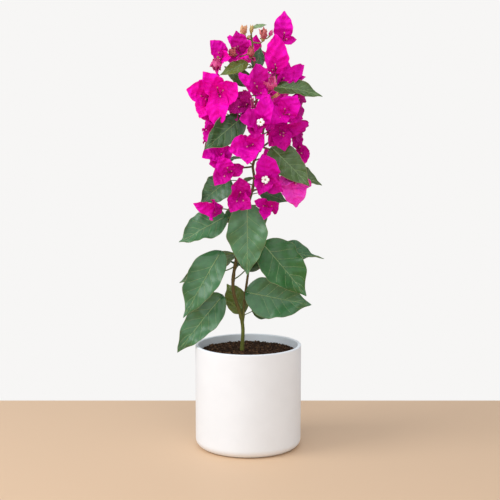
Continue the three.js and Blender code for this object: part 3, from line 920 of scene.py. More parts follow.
@dataclass
class Pot:
    """A straight cylinder pot with a rounded foot and a thin soft rim."""

    radius: float = 65.0
    height: float = 127.0
    wall: float = 4.0
    floor: float = 5.0
    foot_round: float = 10.0
    rim_round: float = 1.2
    floor_round: float = 3.0
    sides: int = 144

    def build(self) -> bpy.types.Object:
        """Turns a cylinder into the pot: its inside is drawn down from the rim and its edges are rounded.

        Returns:
            The pot.
        """
        piece = cylinder(self.radius, 0, self.height, self.sides)
        bpy.ops.mesh.inset(thickness=self.wall * MM)
        bpy.ops.mesh.extrude_region_move(
            TRANSFORM_OT_translate={"value": (0, 0, -(self.height - self.floor) * MM)}
        )
        inner = self.radius - self.wall
        rounds = (
            (((self.radius, 0.0),), self.foot_round, 9),
            (((self.radius, self.height), (inner, self.height)), self.rim_round, 4),
            (((inner, self.floor),), self.floor_round, 3),
        )
        for places, offset, segments in rounds:
            pick("edges", lambda e: any(self.on_ring(e, *place) for place in places))
            bpy.ops.mesh.bevel(offset=offset * MM, segments=segments, affect="EDGES")
        bpy.ops.object.mode_set(mode="OBJECT")
        finish_shape(piece, "glazed_pot", GLAZE.material(), 40)
        even = piece.modifiers.new("even_shading", "WEIGHTED_NORMAL")
        even.keep_sharp = True
        apply_all(piece)
        return settle(piece, ["pot"])

    def on_ring(self, edge: bmesh.types.BMEdge, radius: float, height: float) -> bool:
        """Whether an edge lies on a ring.

        Args:
            edge: The edge, in the cylinder's own frame.
            radius: The ring's radius.
            height: The ring's height over the pot's underside.

        Returns:
            Whether both its ends do.
        """
        near = 2e-5
        level = (height - self.height / 2) * MM
        return all(
            abs(v.co.z - level) < near and abs(v.co.xy.length - radius * MM) < near for v in edge.verts
        )


@dataclass
class Soil:
    """Potting soil ten millimetres under the rim: a rough bed, and loose crumbs on it.

    Args:
        pot: What holds it.
        top: The height of its top at the pot's wall.
        crown: How much higher its middle is.
        clear: How far it stays off the pot.
        sides: How many corners the bed has round.
        rings: How many rings its top has.
        lump: The size of the bed's lumps.
        rough: How deep they are.
        crumbs: How many dark crumbs lie on it; a quarter as many light ones lie among them.
        seed: What sets it apart.
    """

    pot: Pot
    top: float = 117.0
    crown: float = 0.8
    clear: float = 0.3
    sides: int = 96
    rings: int = 22
    lump: float = 4.0
    rough: float = 1.6
    crumbs: int = 2600
    seed: int = 5

    @property
    def radius(self) -> float:
        """The bed's radius."""
        return self.pot.radius - self.pot.wall - self.clear

    def build(self) -> None:
        """Makes the bed and its crumbs."""
        self.bed()
        self.scatter("soil_crumbs_dark", peat("2a1a10", "47301f"), self.crumbs, 0)
        self.scatter("soil_crumbs_light", peat("4a3120", "77573c"), self.crumbs // 4, 1)

    def bed(self) -> None:
        """Insets a disc's top ring by ring, each a little higher, and roughens it."""
        piece = cylinder(self.radius, self.pot.floor + self.clear, self.top, self.sides)
        for _ in range(self.rings):
            bpy.ops.mesh.inset(
                thickness=0.95 * self.radius / self.rings * MM, depth=self.crown / self.rings * MM
            )
        bpy.ops.object.mode_set(mode="OBJECT")
        loose = piece.vertex_groups.new(name="rough")
        inside = self.radius * MM * 0.99
        upper = [v.index for v in piece.data.vertices if v.co.z > 0 and v.co.xy.length < inside]
        loose.add(upper, 1.0, "ADD")
        lumps = bpy.data.textures.new("soil_lumps", "CLOUDS")
        lumps.noise_scale = self.lump * MM
        displace = piece.modifiers.new("lumps", "DISPLACE")
        displace.texture, displace.strength, displace.mid_level = lumps, self.rough * MM, 0.7
        displace.direction, displace.vertex_group = "Z", loose.name
        apply_all(piece)
        finish_shape(piece, "potting_soil_bed", peat("2a1a10", "4a3322").material(), 60)
        settle(piece, ["potting_soil"])

    def scatter(self, name: str, finish: Finish, count: int, kind: int) -> None:
        """Strews crumbs evenly over the bed, each an uneven twenty-sided lump.

        Args:
            name: The piece's name.
            finish: What the crumbs look like.
            count: How many there are.
            kind: What sets them apart from the others.
        """
        rng = np.random.default_rng(self.seed + kind)
        heap = Joined(name, (finish,), "soil")
        gold = (1 + math.sqrt(5)) / 2
        lump = np.array([[0, a, b * gold] for a in (-1, 1) for b in (-1, 1)], float)
        lump = np.concatenate([lump, lump[:, [2, 0, 1]], lump[:, [1, 2, 0]]])
        lump /= np.linalg.norm(lump[0])
        faces = hull_faces(lump)
        for _ in range(count):
            size = 0.7 + 1.1 * rng.random() ** 2
            reach = (self.radius - size - 0.3) * math.sqrt(rng.random())
            way = 2 * math.pi * rng.random()
            spin = np.linalg.qr(rng.normal(size=(3, 3)))[0]
            if np.linalg.det(spin) < 0:
                spin[0] *= -1
            shape = lump * (1 + 0.28 * rng.uniform(-1, 1, (12, 1))) @ spin * size * [1, 1, 0.8]
            height = self.top + self.crown * (1 - reach / self.radius) - 0.1 + 0.9 * size * rng.random()
            heap.add(shape + [reach * math.cos(way), reach * math.sin(way), height], faces)
        heap.piece()


def hull_faces(points: np.ndarray) -> Faces:
    """The faces of a regular solid with three-sided faces round the origin.

    Args:
        points: Its corners.

    Returns:
        The corners of each face, turning left seen from outside.
    """
    edge = min(np.linalg.norm(points[0] - p) for p in points[1:]) * 1.01
    found = []
    for a, b, c in combinations(range(len(points)), 3):
        sides = (points[b] - points[a], points[c] - points[b], points[a] - points[c])
        if max(np.linalg.norm(s) for s in sides) < edge:
            left = np.cross(sides[0], sides[1]) @ points[a] > 0
            found.append((a, b, c) if left else (a, c, b))
    return found


# ---------------------------------------------------------------- the limbs

MAIN = Path(
    (
        (-7.6, 0, 118.1), (-7, 0, 152), (-18.5, -2, 197), (-13.5, 0, 238), (-2, 1, 292), (7.5, -1, 330),
        (5.5, -2, 346), (18, 1, 380), (10, 2, 424), (8, 0, 462), (4, 0, 500),
    )
)


def bough(height: float, *knots: Sequence[float]) -> Path:
    """A limb that leaves the main stem at a height and passes through knots."""
    return Path((tuple(MAIN.at_height(height)), *knots))


@dataclass
class Limb:
    """One woody limb.

    Args:
        name: Its node.
        path: Its centre line.
        radius: Its radius at a share of its length.
        joints: The heights of its leaf joints.
        sides: How many corners a ring has.
        step: How far apart its rings are.
        samples: How many points its centre line has.
        grain: The size of the lumps of its bark.
        rough: How deep they are.
    """

    name: str
    path: Path
    radius: Callable[[float], float]
    joints: tuple[float, ...] = ()
    sides: int = 14
    step: float = 2.2
    samples: int = 60
    grain: float = 1.6
    rough: float = 0.5

    def build(self, skin: bpy.types.Material) -> bpy.types.Object:
        """Draws a ring up to a tapering rod, roughens its bark and bends it along its path.

        Args:
            skin: The bark's material.

        Returns:
            The rod.
        """
        points = self.path.run(self.samples)
        length = float(np.linalg.norm(np.diff(points, axis=0), axis=1).sum())
        rod = self.straight_rod(points, length)
        finer = rod.modifiers.new("finer", "SUBSURF")
        finer.levels = finer.render_levels = 1
        lumps = bpy.data.textures.new(self.name + "_grain", "CLOUDS")
        lumps.noise_scale = self.grain * MM
        bark = rod.modifiers.new("bark", "DISPLACE")
        bark.texture, bark.strength, bark.mid_level = lumps, self.rough * MM, 0.5
        line = bpy.data.curves.new(self.name + "_line", "CURVE")
        line.dimensions = "3D"
        spline = line.splines.new("POLY")
        spline.points.add(len(points) - 1)
        for spot, point in zip(spline.points, points):
            spot.co = (*(point * MM), 1.0)
        guide = bpy.data.objects.new(line.name, line)
        bpy.context.scene.collection.objects.link(guide)
        bend = rod.modifiers.new("bend", "CURVE")
        bend.object, bend.deform_axis = guide, "POS_Z"
        apply_all(rod)
        bpy.data.objects.remove(guide)
        finish_shape(rod, self.name + "_bark", skin, 180)
        return rod

    def straight_rod(self, points: np.ndarray, length: float) -> bpy.types.Object:
        """The limb before it is bent, with its own thickness at each height.

        Args:
            points: Its centre line.
            length: Its length.

        Returns:
            The rod, upright on the origin.
        """
        rings = max(6, round(length / self.step))
        shares = np.linspace(0, 1, rings + 1)
        heights = np.interp(shares, np.linspace(0, 1, self.samples), points[:, 2])
        radii = [self.radius(i / rings) + self.swelling(heights[i]) for i in range(rings + 1)]
        clear_selection()
        bpy.ops.mesh.primitive_circle_add(vertices=self.sides, radius=radii[0] * MM, fill_type="NGON")
        bpy.ops.object.mode_set(mode="EDIT")
        bpy.ops.mesh.select_all(action="SELECT")
        for i in range(rings):
            bpy.ops.mesh.extrude_region_move(
                TRANSFORM_OT_translate={"value": (0, 0, length / rings * MM)}
            )
            grown = radii[i + 1] / radii[i]
            bpy.ops.transform.resize(
                value=(grown, grown, 1), center_override=(0, 0, length * (i + 1) / rings * MM)
            )
        bpy.ops.mesh.select_all(action="SELECT")
        bpy.ops.mesh.normals_make_consistent(inside=False)
        bpy.ops.object.mode_set(mode="OBJECT")
        return bpy.context.object

    def swelling(self, height: float) -> float:
        """How much the limb is thicker beside its leaf joints."""
        return sum(0.45 * math.exp(-(((height - joint) / 1.8) ** 2)) for joint in self.joints)


def taper(start: float, end: float) -> Callable[[float], float]:
    """A radius that changes evenly from one end to the other."""
    return lambda share: start + (end - start) * share


SIDE = bough(152, (-4, 4, 184), (1, 5, 222), (6, 4, 256))
BOUGHS = {
    "bough_left_low": (bough(345, (-6, -6, 344), (-16, -12, 346)), 1.2, 0.9),
    "bough_right_low": (bough(316, (17, -6, 319), (29, -10, 322)), 1.2, 0.9),
    "bough_right_middle": (bough(366, (24, -8, 374), (33, -14, 384)), 1.3, 0.9),
    "bough_right_high": (bough(398, (20, -2, 405), (29, -5, 414)), 1.3, 0.9),
    "bough_left_high": (bough(404, (-4, -5, 410), (-20, -10, 413)), 1.3, 0.9),
    "bough_top_right": (bough(448, (16, -3, 452), (26, -6, 458)), 1.1, 0.8),
    "bough_top_left": (bough(447, (-3, 0, 455), (-12, -2, 463)), 1.1, 0.8),
}
PATHS = {"main_stem": MAIN, "side_stem": SIDE, **{name: row[0] for name, row in BOUGHS.items()}}


@dataclass
class Wood:
    """The two stems that share a foot and the side boughs, in bark.

    Args:
        thin: The main stem's radius at its tip.
        stout: How much thicker it is at the soil.
        flare: How much it stands out besides just over the soil.
        flare_height: How soon that is gone, as a share of its length.
    """

    thin: float = 1.1
    stout: float = 1.2
    flare: float = 0.7
    flare_height: float = 0.018

    def build(self) -> None:
        """Makes a piece for each stem and one for all the boughs."""
        skin = BARK.material()
        stems = (
            ("main_stem", MAIN, self.main_radius, 18),
            ("side_stem", SIDE, taper(1.9, 1.2), 14),
        )
        for name, path, radius, sides in stems:
            joints = tuple(row.at for row in LEAVES if row.limb == name)
            settle(Limb(name, path, radius, joints, sides).build(skin), [name])
        rods = [Limb(name, path, taper(a, b)).build(skin) for name, (path, a, b) in BOUGHS.items()]
        clear_selection()
        for rod in rods:
            rod.select_set(True)
        bpy.context.view_layer.objects.active = rods[0]
        bpy.ops.object.join()
        rods[0].name = rods[0].data.name = "boughs_bark"
        settle(rods[0], sorted(BOUGHS))

    def main_radius(self, share: float) -> float:
        """The main stem's radius: it flares at the soil and thins to the tip."""
        flare = self.flare * math.exp(-share / self.flare_height)
        return self.thin + self.stout * (1 - share) ** 0.9 + flare


# ---------------------------------------------------------------- large single leaves


@dataclass(frozen=True)
class LeafRow:
    """A large leaf: how high its stalk leaves the limb, where its blade starts, and how the blade lies.

    Args:
        name: Its node.
        at: Height where the stalk leaves the limb.
        stalk: Azimuth and distance of the blade's start from the limb, and its height.
        way: Azimuth and rise of the way that the blade runs.
        size: Length and width.
        face: Azimuth and rise of the way that its upper face looks.
        bend: Degrees that it turns along its length.
        tint: How old it is.
        limb: What carries it.
    """

    name: str
    at: float
    stalk: tuple[float, float, float]
    way: tuple[float, float]
    size: tuple[float, float]
    face: tuple[float, float]
    bend: float
    tint: LeafTint = LeafTint.MATURE
    limb: str = "main_stem"


MATURE, OLIVE, PALE, RICH, DEEP, TIP, YOUNG = LeafTint
LEAVES = (
    LeafRow("leaf_front", 301, (-93, 26, 296), (-90, -77), (81, 49), (-90, 20), 12, PALE),
    LeafRow("leaf_left_shoulder", 290, (-168, 29, 283), (-165, -23), (62, 41), (-100, 35), 22),
    LeafRow("leaf_left_small", 296, (164, 11, 290), (179, -33), (25, 19), (-95, 15), 8),
    LeafRow("leaf_left_long", 240, (-160, 24, 238), (-150, -54), (89, 43), (-97, 15), 20),
    LeafRow("leaf_left_hidden", 224, (160, 20, 217), (-175, -10), (54, 30), (-110, 40), 20, DEEP),
    LeafRow("leaf_left_foot", 169, (-168, 24, 184), (-158, -47), (86, 40), (-97, 12), 16),
    LeafRow(
        "leaf_right_shoulder", 250, (-43, 21, 249), (-29, -42), (80, 53), (-80, 18), 22, RICH, "side_stem"
    ),
    LeafRow("leaf_right_behind", 244, (6, 15, 245), (-5, -1), (77, 35), (-60, 50), 28, limb="side_stem"),
    LeafRow("leaf_right_low", 180, (-48, 10, 191), (-10, -9), (78, 51), (-86, 12), 14, limb="side_stem"),
    LeafRow("leaf_right_under", 162, (19, 15, 168), (6, 16), (42, 30), (-70, 10), 14, DEEP, "side_stem"),
    LeafRow("leaf_behind_low", 160, (78, 13, 167), (138, 46), (44, 30), (-96, 10), 10, YOUNG),
    LeafRow("leaf_behind_centre", 207, (38, 22, 220), (25, 66), (55, 38), (-90, 10), 12, DEEP),
    LeafRow("leaf_left_crown", 322, (179, 31, 328), (-168, -36), (44, 34), (-100, 15), 20),
    LeafRow("leaf_left_middle", 407, (-135, 33, 402), (-147, -34), (60, 34), (-85, 15), 14, DEEP),
    LeafRow("leaf_right_middle", 368, (-52, 26, 366), (-35, -37), (64, 36), (-88, 15), 18, OLIVE),
    LeafRow("leaf_right_tip", 331, (11, 37, 338), (-15, -6), (51, 24), (-60, 40), 30, OLIVE),
    LeafRow("leaf_right_high", 430, (-36, 29, 440), (-19, -1), (59, 24), (-80, 42), 26, OLIVE),
    LeafRow("leaf_top_left", 460, (-137, 16, 468), (-140, -19), (40, 16), (-70, 30), 14, YOUNG),
    LeafRow("leaf_top_under", 434, (157, 9, 445), (176, 34), (38, 20), (-95, 10), 10, OLIVE),
    LeafRow("leaf_top_centre", 452, (59, 3, 463), (10, 80), (27, 16), (-100, 10), 10),
    LeafRow("leaf_right_lower", 311, (29, 16, 313), (-14, -16), (34, 19), (-80, 25), 18),
    LeafRow("leaf_back_low", 212, (60, 12, 224), (52, 4), (70, 42), (60, 60), 42),
    LeafRow("leaf_back_left", 236, (112, 12, 238), (112, -8), (66, 40), (112, 55), 45),
    LeafRow("leaf_back_centre", 268, (75, 12, 278), (70, 8), (64, 38), (75, 55), 40, DEEP),
    LeafRow("leaf_back_shoulder", 305, (110, 12, 314), (112, -8), (52, 32), (100, 45), 35),
)


@dataclass
class Foliage:
    """All leaves, large and young: blades, a heap for each tint, with their ribs, pale margins and stalks.

    Args:
        thick: How thick a blade is.
        stalk_radius: How thick a large leaf's stalk is.
        large_from: The length from which a leaf counts as large.
        veined_from: The length from which its side veins show.
        young_stalk: How long a young leaf's stalk is.
        young_width: Its width as a share of its length.
        young_bend: Degrees that it turns along its length.
        rib_lift: How far the line of the midrib stands over the blade's middle surface.
        vein_lift: How far those of the side veins do.
        vein_radius: How thick a side vein is at the midrib, and at its end.
        rim_radius: How thick the pale margin is.
    """

    thick: float = 0.45
    stalk_radius: float = 0.8
    large_from: float = 45.0
    veined_from: float = 40.0
    young_stalk: float = 6.0
    young_width: float = 0.52
    young_bend: float = 30.0
    rib_lift: float = 0.15
    vein_lift: float = 0.26
    vein_radius: tuple[float, float] = (0.27, 0.16)
    rim_radius: float = 0.19

    def __post_init__(self) -> None:
        """Opens a heap for each kind of shape."""
        self.blades = {
            tint: Joined("leaf_blades_" + tint.name.lower(), tint.value, "leaf") for tint in LeafTint
        }
        self.ribs = Joined("leaf_ribs", (LEAF_RIB,), "leaf")
        self.stalks = Joined("leaf_stalks", (PETIOLE,), "leaf")
        self.rims = Joined("leaf_rims", (LEAF_RIM,), "leaf")

    def large_leaf(self, row: LeafRow, seed: int) -> None:
        """Hangs one leaf of the table on its limb.

        Args:
            row: The leaf.
            seed: What sets it apart.
        """
        foot = PATHS[row.limb].at_height(row.at)
        azimuth, out, height = row.stalk
        base = np.array([foot[0], foot[1], 0]) + heading(azimuth, 0) * out
        base[2] = height
        forward = heading(*row.way)
        # The stalk rises outwards and turns into the blade's way.
        arriving = unit(forward * 0.6 + heading(azimuth, 30) * 0.4)
        face = square_to(heading(*row.face), forward)
        self.leaf(row.name, foot, arriving, base, forward, face, row.size, row.bend, row.tint, seed)

    def young_leaf(self, node: str, start: np.ndarray, forward: np.ndarray, length: float, seed: int) -> None:
        """Sets a small leaf on a twig.

        Args:
            node: The node that it stands for.
            start: Where it leaves the twig.
            forward: The way that it grows.
            length: Its length.
            seed: What sets it apart.
        """
        face = square_to(forward * 0.3 + UP, forward)
        base = start + forward * self.young_stalk
        size = (length, length * self.young_width)
        self.leaf(node, start, forward, base, forward, face, size, self.young_bend, MATURE, seed)

    def leaf(
        self,
        node: str,
        foot: np.ndarray,
        arriving: np.ndarray,
        base: np.ndarray,
        forward: np.ndarray,
        face: np.ndarray,
        size: tuple[float, float],
        bend: float,
        tint: LeafTint,
        seed: float,
    ) -> None:
        """Makes one leaf: its stalk, its blade and its ribs.

        Args:
            node: The node that it stands for.
            foot: Where the stalk leaves what carries it.
            arriving: The way that the stalk arrives at the blade.
            base: Where the blade starts.
            forward: The way that the blade runs.
            face: The way that its upper face looks.
            size: Length and width.
            bend: Degrees that it turns along its length.
            tint: How old it is.
            seed: What sets it apart.
        """
        length, width = size
        blade = Blade(
            base=base - forward * 1.5,
            forward=forward,
            face=face,
            length=length,
            width=width,
            bend=bend,
            fold=13,
            outline=leaf_outline,
            veins=6.5,
            relief=0.010 * length,
            wave=0.036 * length,
            crinkle=0.015 * length,
            thick=self.thick,
            seed=seed,
            hook=22 * jitter(seed, 20),
            twist=12 * jitter(seed, 21),
            lobe=0.06,
            ragged=0.04,
        )
        large = length > self.large_from
        corners, top, under = blade.solid(*((52, 22) if large else (36, 14)))
        self.blades[tint].add(corners, top, node, under)
        stout = self.stalk_radius * (1 if large else 0.75)
        stalk = arch(foot, blade.points(np.array([0.05]), np.array([0.0]))[0], arriving, 13)
        radii = np.interp(np.linspace(0, 1, 13), [0, 0.12, 1], [stout * 1.5, stout, stout * 0.85])
        self.stalks.add(*tube(stalk, radii, 8), node)
        self.rib(blade, node, stout * 0.8)
        self.rim(blade, node)

    def rib(self, blade: Blade, node: str, radius: float) -> None:
        """Lays the midrib and the side veins of a blade on it as slim rods.

        Args:
            blade: The blade.
            node: The node that it stands for.
            radius: The midrib's radius where it starts.
        """
        t = np.linspace(0, 0.97, 22)
        middle = blade.over(t, np.zeros_like(t), self.rib_lift)
        self.ribs.add(*tube(middle, np.linspace(radius, 0.2, 22), 6), node)
        if blade.length < self.veined_from:
            return
        for side in (-1, 1):
            for k in range(1, int(blade.veins)):
                wide = np.linspace(0.0, 0.86, 9)
                t = (k - 0.25 * side) / blade.veins + slant(wide)
                keep = t < 0.93
                if keep.sum() < 4:
                    continue
                line = blade.over(t[keep], side * wide[keep], self.vein_lift)
                self.ribs.add(*tube(line, np.linspace(*self.vein_radius, len(line)), 5), node)

    def rim(self, blade: Blade, node: str) -> None:
        """Lays the pale margin of a blade round it as a thread.

        Args:
            blade: The blade.
            node: The node that it stands for.
        """
        t = np.linspace(0.03, 0.985, 34)
        for side in (-1.0, 1.0):
            line = blade.points(t, np.full_like(t, side))
            self.rims.add(*tube(line, np.full(len(t), self.rim_radius), 5), node)

    def build(self) -> None:
        """Makes all leaf pieces."""
        for heap in (*self.blades.values(), self.ribs, self.rims, self.stalks):
            heap.piece()


# ---------------------------------------------------------------- sprays of blooms


@dataclass(frozen=True)
class Bloom:
    """A bloom of three papery bracts.

    Args:
        heart: Where the bracts meet.
        look: Azimuth and rise of the way that it faces.
        tips: For each bract, its tip's place from the heart, and its width. An even bloom has none.
        roll: The turn of an even bloom's first bract, in degrees.
        size: The length of an even bloom's bracts.
        out: Whether its first flower is open.
        tint: How old its bracts are, or the darker purple painted shade of a bloom deep in the crown, where
            they differ from the spray's others.
    """

    heart: tuple[float, float, float]
    look: tuple[float, float]
    tips: tuple[tuple[float, float, float, float], ...] = ()
    roll: float = 0.0
    size: float = 0.0
    out: bool = False
    tint: BractTint | None = None


@dataclass(frozen=True)
class SprayRow:
    """A spray of blooms.

    Args:
        name: Its node.
        carrier: The limb whose tip carries it, or the height where it leaves the main stem.
        seed: What sets it apart.
        blooms: Its blooms.
        buds: How many buds it has besides.
        leaves: How many young leaves it has besides.
        tint: How old its bracts are.
    """

    name: str
    carrier: str | float
    seed: int
    blooms: tuple[Bloom, ...]
    buds: int = 0
    leaves: int = 0
    tint: BractTint = BractTint.BRIGHT


def spray(
    name: str, carrier: str | float, seed: int, *blooms: Bloom, **more: int | BractTint
) -> SprayRow:
    """A row of the table of sprays.

    Args:
        name: Its node.
        carrier: The limb whose tip carries it, or the height where it leaves the main stem.
        seed: What sets it apart.
        blooms: Its blooms, one after the other.
        more: Its buds, leaves and tint, where they differ from the usual ones.

    Returns:
        The row.
    """
    return SprayRow(name, carrier, seed, blooms, **more)


BRIGHT, FULL, RIPE, PAINTED_SHADE, ROSE, BABY = BractTint
# Blooms deep in the crown wear the darker purple bract copy, which is painted shade.
SPRAYS = (
    spray(
        "spray_top_right", "bough_top_right", 11,
        Bloom((42, 5, 495), (-100, 15), ((1, -6, 34, 24), (15, -2, 1, 12), (-12, 14, -12, 20)), tint=FULL),
        Bloom((32, -20, 457), (-95, 15), ((0, -10, 44, 29), (8, 15, 9, 18), (-7, 15, 5, 18))),
        Bloom((38, -10, 444), (-60, 20), ((10, -8, 24, 20), (29, 0, 22, 19), (30, 2, 8, 14)), tint=FULL),
        buds=1,
    ),
    spray(
        "spray_top_left", "bough_top_left", 12,
        Bloom((-30, -10, 475), (-105, 10), ((-14, -8, 19, 23), (-7, -8, -20, 15), (9, -14, -1, 16))),
        Bloom(
            (-9, -6, 479), (-100, 25),
            ((-5, -8, 26, 24), (-15, 8, 23, 11), (-12, -10, -12, 18)), tint=FULL,
        ),
        buds=2,
    ),
    spray(
        "spray_centre_high", 424, 13,
        Bloom((12, -33, 432), (-95, 20), ((-2, -8, 35, 26), (-24, 14, 25, 15), (11, -12, -3, 16)), tint=FULL),
        Bloom((-2, -20, 417), (-105, 5), roll=60, size=25, tint=PAINTED_SHADE),
        Bloom((25, -34, 436), (-80, 62), roll=50, size=17, tint=BABY),
    ),
    spray(
        "spray_left_high", "bough_left_high", 14,
        Bloom((-34, -26, 431), (-85, 5), ((-18, -12, 26, 27), (20, -12, 13, 33), (-1, -6, -37, 29))),
        Bloom((-46, -12, 427), (-100, 5), ((-26, -14, 10, 33), (-12, 2, 22, 18), (-11, -10, -23, 25))),
        Bloom((-12, -8, 417), (-111, 14), roll=35, size=26, tint=PAINTED_SHADE),
    ),
    spray(
        "spray_centre", 386, 16,
        Bloom(
            (16, -42, 395), (-97, 18),
            ((-25, -14, 9, 36), (-9, -22, -13, 27), (8, -4, 37, 24)), out=True,
        ),
        tint=FULL,
    ),
    spray(
        "spray_right_high", "bough_right_high", 17,
        Bloom((42, -26, 408), (-90, 5), ((15, -12, 22, 29), (-19, -14, -12, 31), (22, -6, -5, 19))),
        Bloom((52, -2, 425), (-20, -10), roll=40, size=26, tint=PAINTED_SHADE),
        tint=FULL,
    ),
    spray(
        "spray_right_middle", "bough_right_middle", 18,
        Bloom((38, -22, 388), (-85, -5), ((33, -6, 10, 20), (5, -16, -22, 25), (-13, -10, -17, 21))),
        Bloom((51, -2, 390), (-45, 10), roll=7, size=26, tint=PAINTED_SHADE),
        tint=RIPE,
    ),
    spray(
        "spray_centre_low", 358, 19,
        Bloom((3, -44, 372), (-95, -5), ((-25, -10, -5, 29), (-4, -18, -20, 27), (15, -14, 13, 25))),
        tint=FULL,
    ),
    spray(
        "spray_left_middle", 372, 20,
        Bloom((-38, -8, 389), (-150, 10), ((-13, -6, 11, 16), (-17, -10, 0, 21), (-12, -4, -15, 19))),
        leaves=1, tint=FULL,
    ),
    spray(
        "spray_left_low", "bough_left_low", 21,
        Bloom((-23, -30, 340), (-95, 5), ((-16, -14, -14, 24), (-11, -10, 18, 24), (18, -4, 7, 18))),
        Bloom((-32, -18, 360), (-115, 5), ((-22, -12, -2, 26), (13, -6, 8, 21), (-6, -14, -16, 22))),
        tint=FULL,
    ),
    spray(
        "spray_front_low", 309, 22,
        Bloom((-11, -36, 312), (-89, -5), ((1, -10, 22, 28), (-9, -14, -17, 22), (14, -12, -13, 23))),
        tint=RIPE,
    ),
    spray(
        "spray_right_front", 326, 23,
        Bloom(
            (20, -42, 331), (-90, 8),
            ((-3, -10, 31, 32), (-7, -20, -14, 24), (20, -8, -12, 21)), out=True,
        ),
        tint=FULL,
    ),
    spray(
        "spray_right_low", "bough_right_low", 24,
        Bloom((49, -22, 333), (-70, 5), ((8, -12, -34, 33), (26, 4, -10, 18), (-12, -16, -7, 19))),
        tint=ROSE,
    ),
    spray(
        "spray_right_outer", 352, 25,
        Bloom((60, -2, 365), (-50, 0), ((13, -6, -1, 20), (7, 2, -18, 19), (-10, 4, 20, 20))),
        leaves=1, tint=RIPE,
    ),
    spray(
        "spray_lowest_left", 282, 26,
        Bloom((-33, -14, 295), (-160, 0), ((-33, -6, 6, 20), (-11, -20, -10, 18), (-8, -14, 12, 18))),
        tint=RIPE,
    ),
    spray(
        "spray_back_top", 458, 28,
        Bloom((5, 25, 474), (85, 35), roll=95, size=30),
        leaves=1,
    ),
    spray(
        "spray_lowest_right", 297, 27,
        Bloom((22, -24, 299), (-85, -5), ((-14, -8, 7, 16), (14, -10, 4, 21), (-3, -14, -14, 18))),
        tint=RIPE,
    ),
)


@dataclass(frozen=True)
class Climb:
    """The sprays behind the stem, which climb it by the same turn from one to the next.

    Args:
        lowest: The height of the lowest.
        step: How much higher each next one is.
        azimuth: The way that they look, in degrees.
        swing: How far each looks aside from that, left and right in turn.
        out: How far out the lowest one's bloom is.
        size: The length of its bracts.
        seed: What sets them apart.
        tints: How old the bracts of each are.
    """

    lowest: float = 340
    step: float = 23
    azimuth: float = 90
    swing: float = 44
    out: float = 42
    size: float = 32
    seed: int = 52
    tints: tuple[BractTint, ...] = (BRIGHT, RIPE, BRIGHT, BRIGHT, ROSE)

    def row(self, index: int) -> SprayRow:
        """The spray of a place in the climb, with two blooms.

        Args:
            index: Its place, from 0.

        Returns:
            The spray.
        """
        side = 1 if index % 2 else -1
        height = self.lowest + self.step * index
        turn = self.azimuth + self.swing * side + 8 * jitter(self.seed + 9, index)
        blooms = []
        for k in (0, 1):
            way = turn + 34 * k * side
            reach = self.out * (1 - 0.12 * k - 0.03 * index) + 4 * jitter(self.seed, index)
            x, y, _ = (heading(way, 0) * reach).tolist()
            rise = 15 + 20 * k + 8 * jitter(self.seed + k, index)
            roll = 90 + 50 * jitter(self.seed + 2, index + k)
            blooms.append(Bloom((x, y, height + 22 * k), (way, rise), roll=roll, size=self.size - 2 * k))
        name = f"spray_back_{index + 1}"
        return spray(name, height - 16, self.seed + index, *blooms, leaves=1, tint=self.tints[index])


class Cluster(NamedTuple):
    """A small cluster of crumpled young bracts near the top.

    Args:
        heart: Its middle.
        foot: Where its twig leaves the stem.
        count: How many bracts it has.
        length: Their length.
        look: Azimuth and rise of the way that it looks.
        age: How old they are, as a key of the young bracts' finishes.
    """

    heart: tuple[float, float, float]
    foot: tuple[float, float, float]
    count: int
    length: float
    look: tuple[float, float]
    age: str


CLUSTERS = (
    Cluster((-6, -4, 506), (3.6, 0, 496), 7, 12.0, (140, 70), "amber"),
    Cluster((1, -4, 499), (3.6, 0, 494), 3, 6.0, (-120, -20), "straw"),
    Cluster((4, -2, 508), (3.4, 0, 499), 5, 9.0, (60, 80), "straw"),
    Cluster((19, -6, 502), (5.0, 0, 493), 6, 14.0, (-40, 75), "coral"),
    Cluster((27, -4, 503), (14.0, -3, 497), 3, 8.0, (20, 60), "baby"),
    Cluster((-19, -15, 480), (5.6, 0, 482), 7, 13.0, (-120, 25), "coral"),
    Cluster((3, -15, 480), (6.6, 0, 474), 7, 13.0, (-90, 50), "coral"),
    Cluster((6, -14, 473), (6.6, 0, 470), 3, 8.0, (-80, -10), "baby"),
    Cluster((-38, -18, 467), (-12, -2, 463), 8, 17.0, (-110, -55), "baby"),
    Cluster((33, -36, 430), (20, -8, 440), 5, 9.0, (-30, 25), "amber"),
    Cluster((-3, -16, 433), (8.5, 1, 430), 5, 10.0, (-120, 20), "coral"),
    Cluster((43, -36, 427), (29, -5, 414), 3, 8.0, (-60, 60), "baby"),
)


class Lie(NamedTuple):
    """How a bract lies: its way out from the bloom's axis, how it sets off and looks, and its form."""

    outward: np.ndarray
    forward: np.ndarray
    face: np.ndarray
    length: float
    width: float
    bend: float


